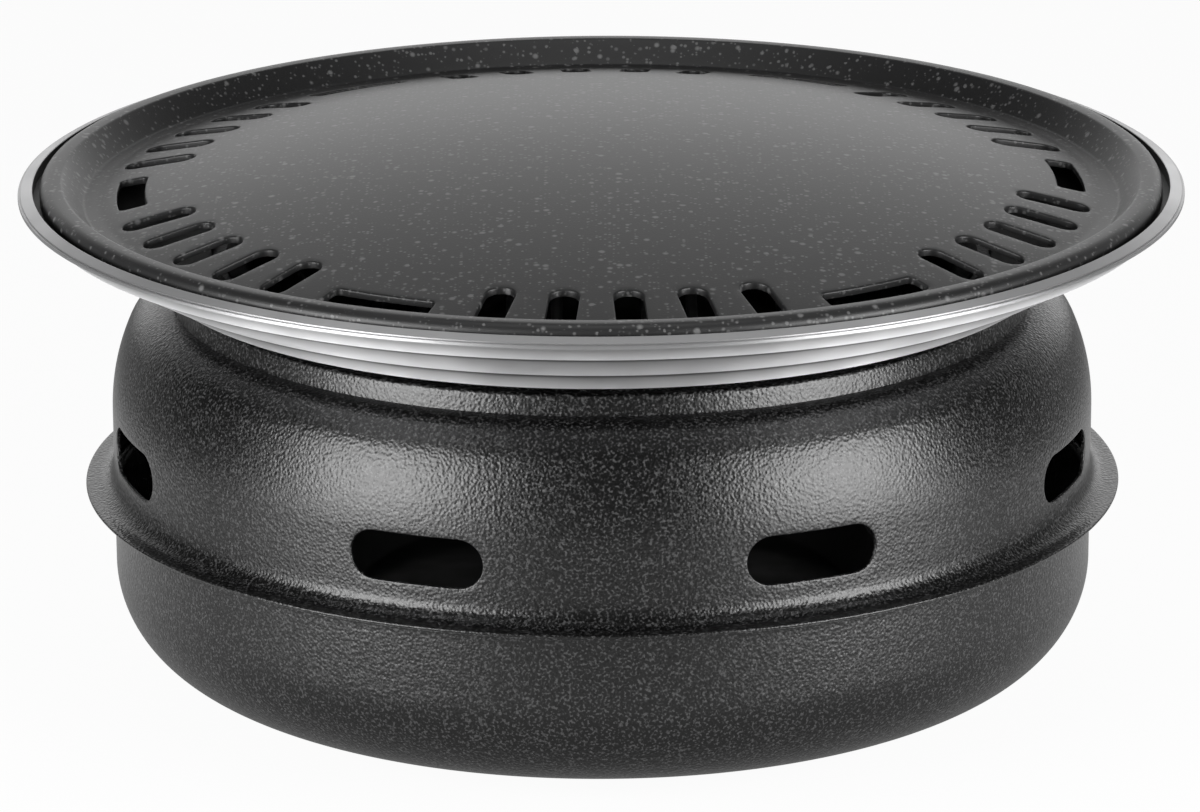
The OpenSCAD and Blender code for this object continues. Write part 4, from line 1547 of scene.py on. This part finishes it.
class GRILL_OT_stage(bpy.types.Operator):
    """Set up the floor, the light and the camera"""

    bl_idname = "grill.stage"
    bl_label = "Stage"

    def execute(self, context):
        build_stage(context.scene)
        return {"FINISHED"}


class GRILL_OT_plate(bpy.types.Operator):
    """Build the domed, slotted plate"""

    bl_idname = "grill.plate"
    bl_label = "Grill plate"

    def execute(self, context):
        build_plate(context.scene)
        return {"FINISHED"}


class GRILL_OT_ring(bpy.types.Operator):
    """Build the turned aluminium ring"""

    bl_idname = "grill.ring"
    bl_label = "Support ring"

    def execute(self, context):
        build_ring(context.scene)
        return {"FINISHED"}


class GRILL_OT_shell(bpy.types.Operator):
    """Build the upper shell with its vents"""

    bl_idname = "grill.shell"
    bl_label = "Upper shell"

    def execute(self, context):
        build_shell(context.scene)
        return {"FINISHED"}


class GRILL_OT_base(bpy.types.Operator):
    """Build the base bowl"""

    bl_idname = "grill.base"
    bl_label = "Base bowl"

    def execute(self, context):
        build_base(context.scene)
        return {"FINISHED"}


class GRILL_OT_fire_bowl(bpy.types.Operator):
    """Build the charcoal bowl"""

    bl_idname = "grill.fire_bowl"
    bl_label = "Charcoal bowl"

    def execute(self, context):
        build_fire_bowl(context.scene)
        return {"FINISHED"}


class GRILL_OT_grate(bpy.types.Operator):
    """Build the charcoal grate"""

    bl_idname = "grill.grate"
    bl_label = "Charcoal grate"

    def execute(self, context):
        build_grate(context.scene)
        return {"FINISHED"}


class GRILL_OT_tray(bpy.types.Operator):
    """Build the ash tray and the heat shield"""

    bl_idname = "grill.tray"
    bl_label = "Ash tray and shield"

    def execute(self, context):
        build_tray(context.scene)
        return {"FINISHED"}


class GRILL_OT_feet(bpy.types.Operator):
    """Build the feet and the spacers"""

    bl_idname = "grill.feet"
    bl_label = "Feet and spacers"

    def execute(self, context):
        build_feet(context.scene)
        return {"FINISHED"}


class GRILL_OT_fasteners(bpy.types.Operator):
    """Build the screws, washers and nuts"""

    bl_idname = "grill.fasteners"
    bl_label = "Fasteners"

    def execute(self, context):
        build_fasteners(context.scene)
        return {"FINISHED"}


SIZE_GROUPS = {
    "grill_body": BodySizes,
    "grill_vents": VentSizes,
    "grill_ring": RingSizes,
    "grill_plate": PlateSizes,
    "grill_slots": SlotSizes,
    "grill_fire": FireSizes,
    "grill_feet": FootSizes,
    "grill_colours": FinishColours,
    "grill_studio": StudioSizes,
}
OPERATORS = (
    GRILL_OT_stage, GRILL_OT_plate, GRILL_OT_ring, GRILL_OT_shell, GRILL_OT_base, GRILL_OT_fire_bowl,
    GRILL_OT_grate, GRILL_OT_tray, GRILL_OT_feet, GRILL_OT_fasteners,
)


class GRILL_PT_sidebar(bpy.types.Panel):
    """Sizes and builders of the grill"""

    bl_idname = "GRILL_PT_sidebar"
    bl_label = "Charcoal Grill"
    bl_space_type = "VIEW_3D"
    bl_region_type = "UI"
    bl_category = "Grill"

    def draw(self, context):
        """List the builders and the sizes."""
        for operator in OPERATORS:
            self.layout.operator(operator.bl_idname)
        for key, group in SIZE_GROUPS.items():
            box = self.layout.box()
            box.label(text=group.__doc__)
            for name in group.__annotations__:
                box.prop(getattr(context.scene, key), name)


CLASSES = (*SIZE_GROUPS.values(), *OPERATORS, GRILL_PT_sidebar)


def register():
    """Register the sizes, the builders and the panel."""
    for cls in CLASSES:
        bpy.utils.register_class(cls)
    for key, group in SIZE_GROUPS.items():
        setattr(bpy.types.Scene, key, PointerProperty(type=group))


def unregister():
    """Remove the panel, the builders and the sizes."""
    for key in SIZE_GROUPS:
        delattr(bpy.types.Scene, key)
    for cls in reversed(CLASSES):
        bpy.utils.unregister_class(cls)


def main():
    register()
    bpy.ops.grill.stage()
    bpy.ops.grill.plate()
    bpy.ops.grill.ring()
    bpy.ops.grill.shell()
    bpy.ops.grill.base()
    bpy.ops.grill.fire_bowl()
    bpy.ops.grill.grate()
    bpy.ops.grill.tray()
    bpy.ops.grill.feet()
    bpy.ops.grill.fasteners()


if __name__ == "__main__":
    main()
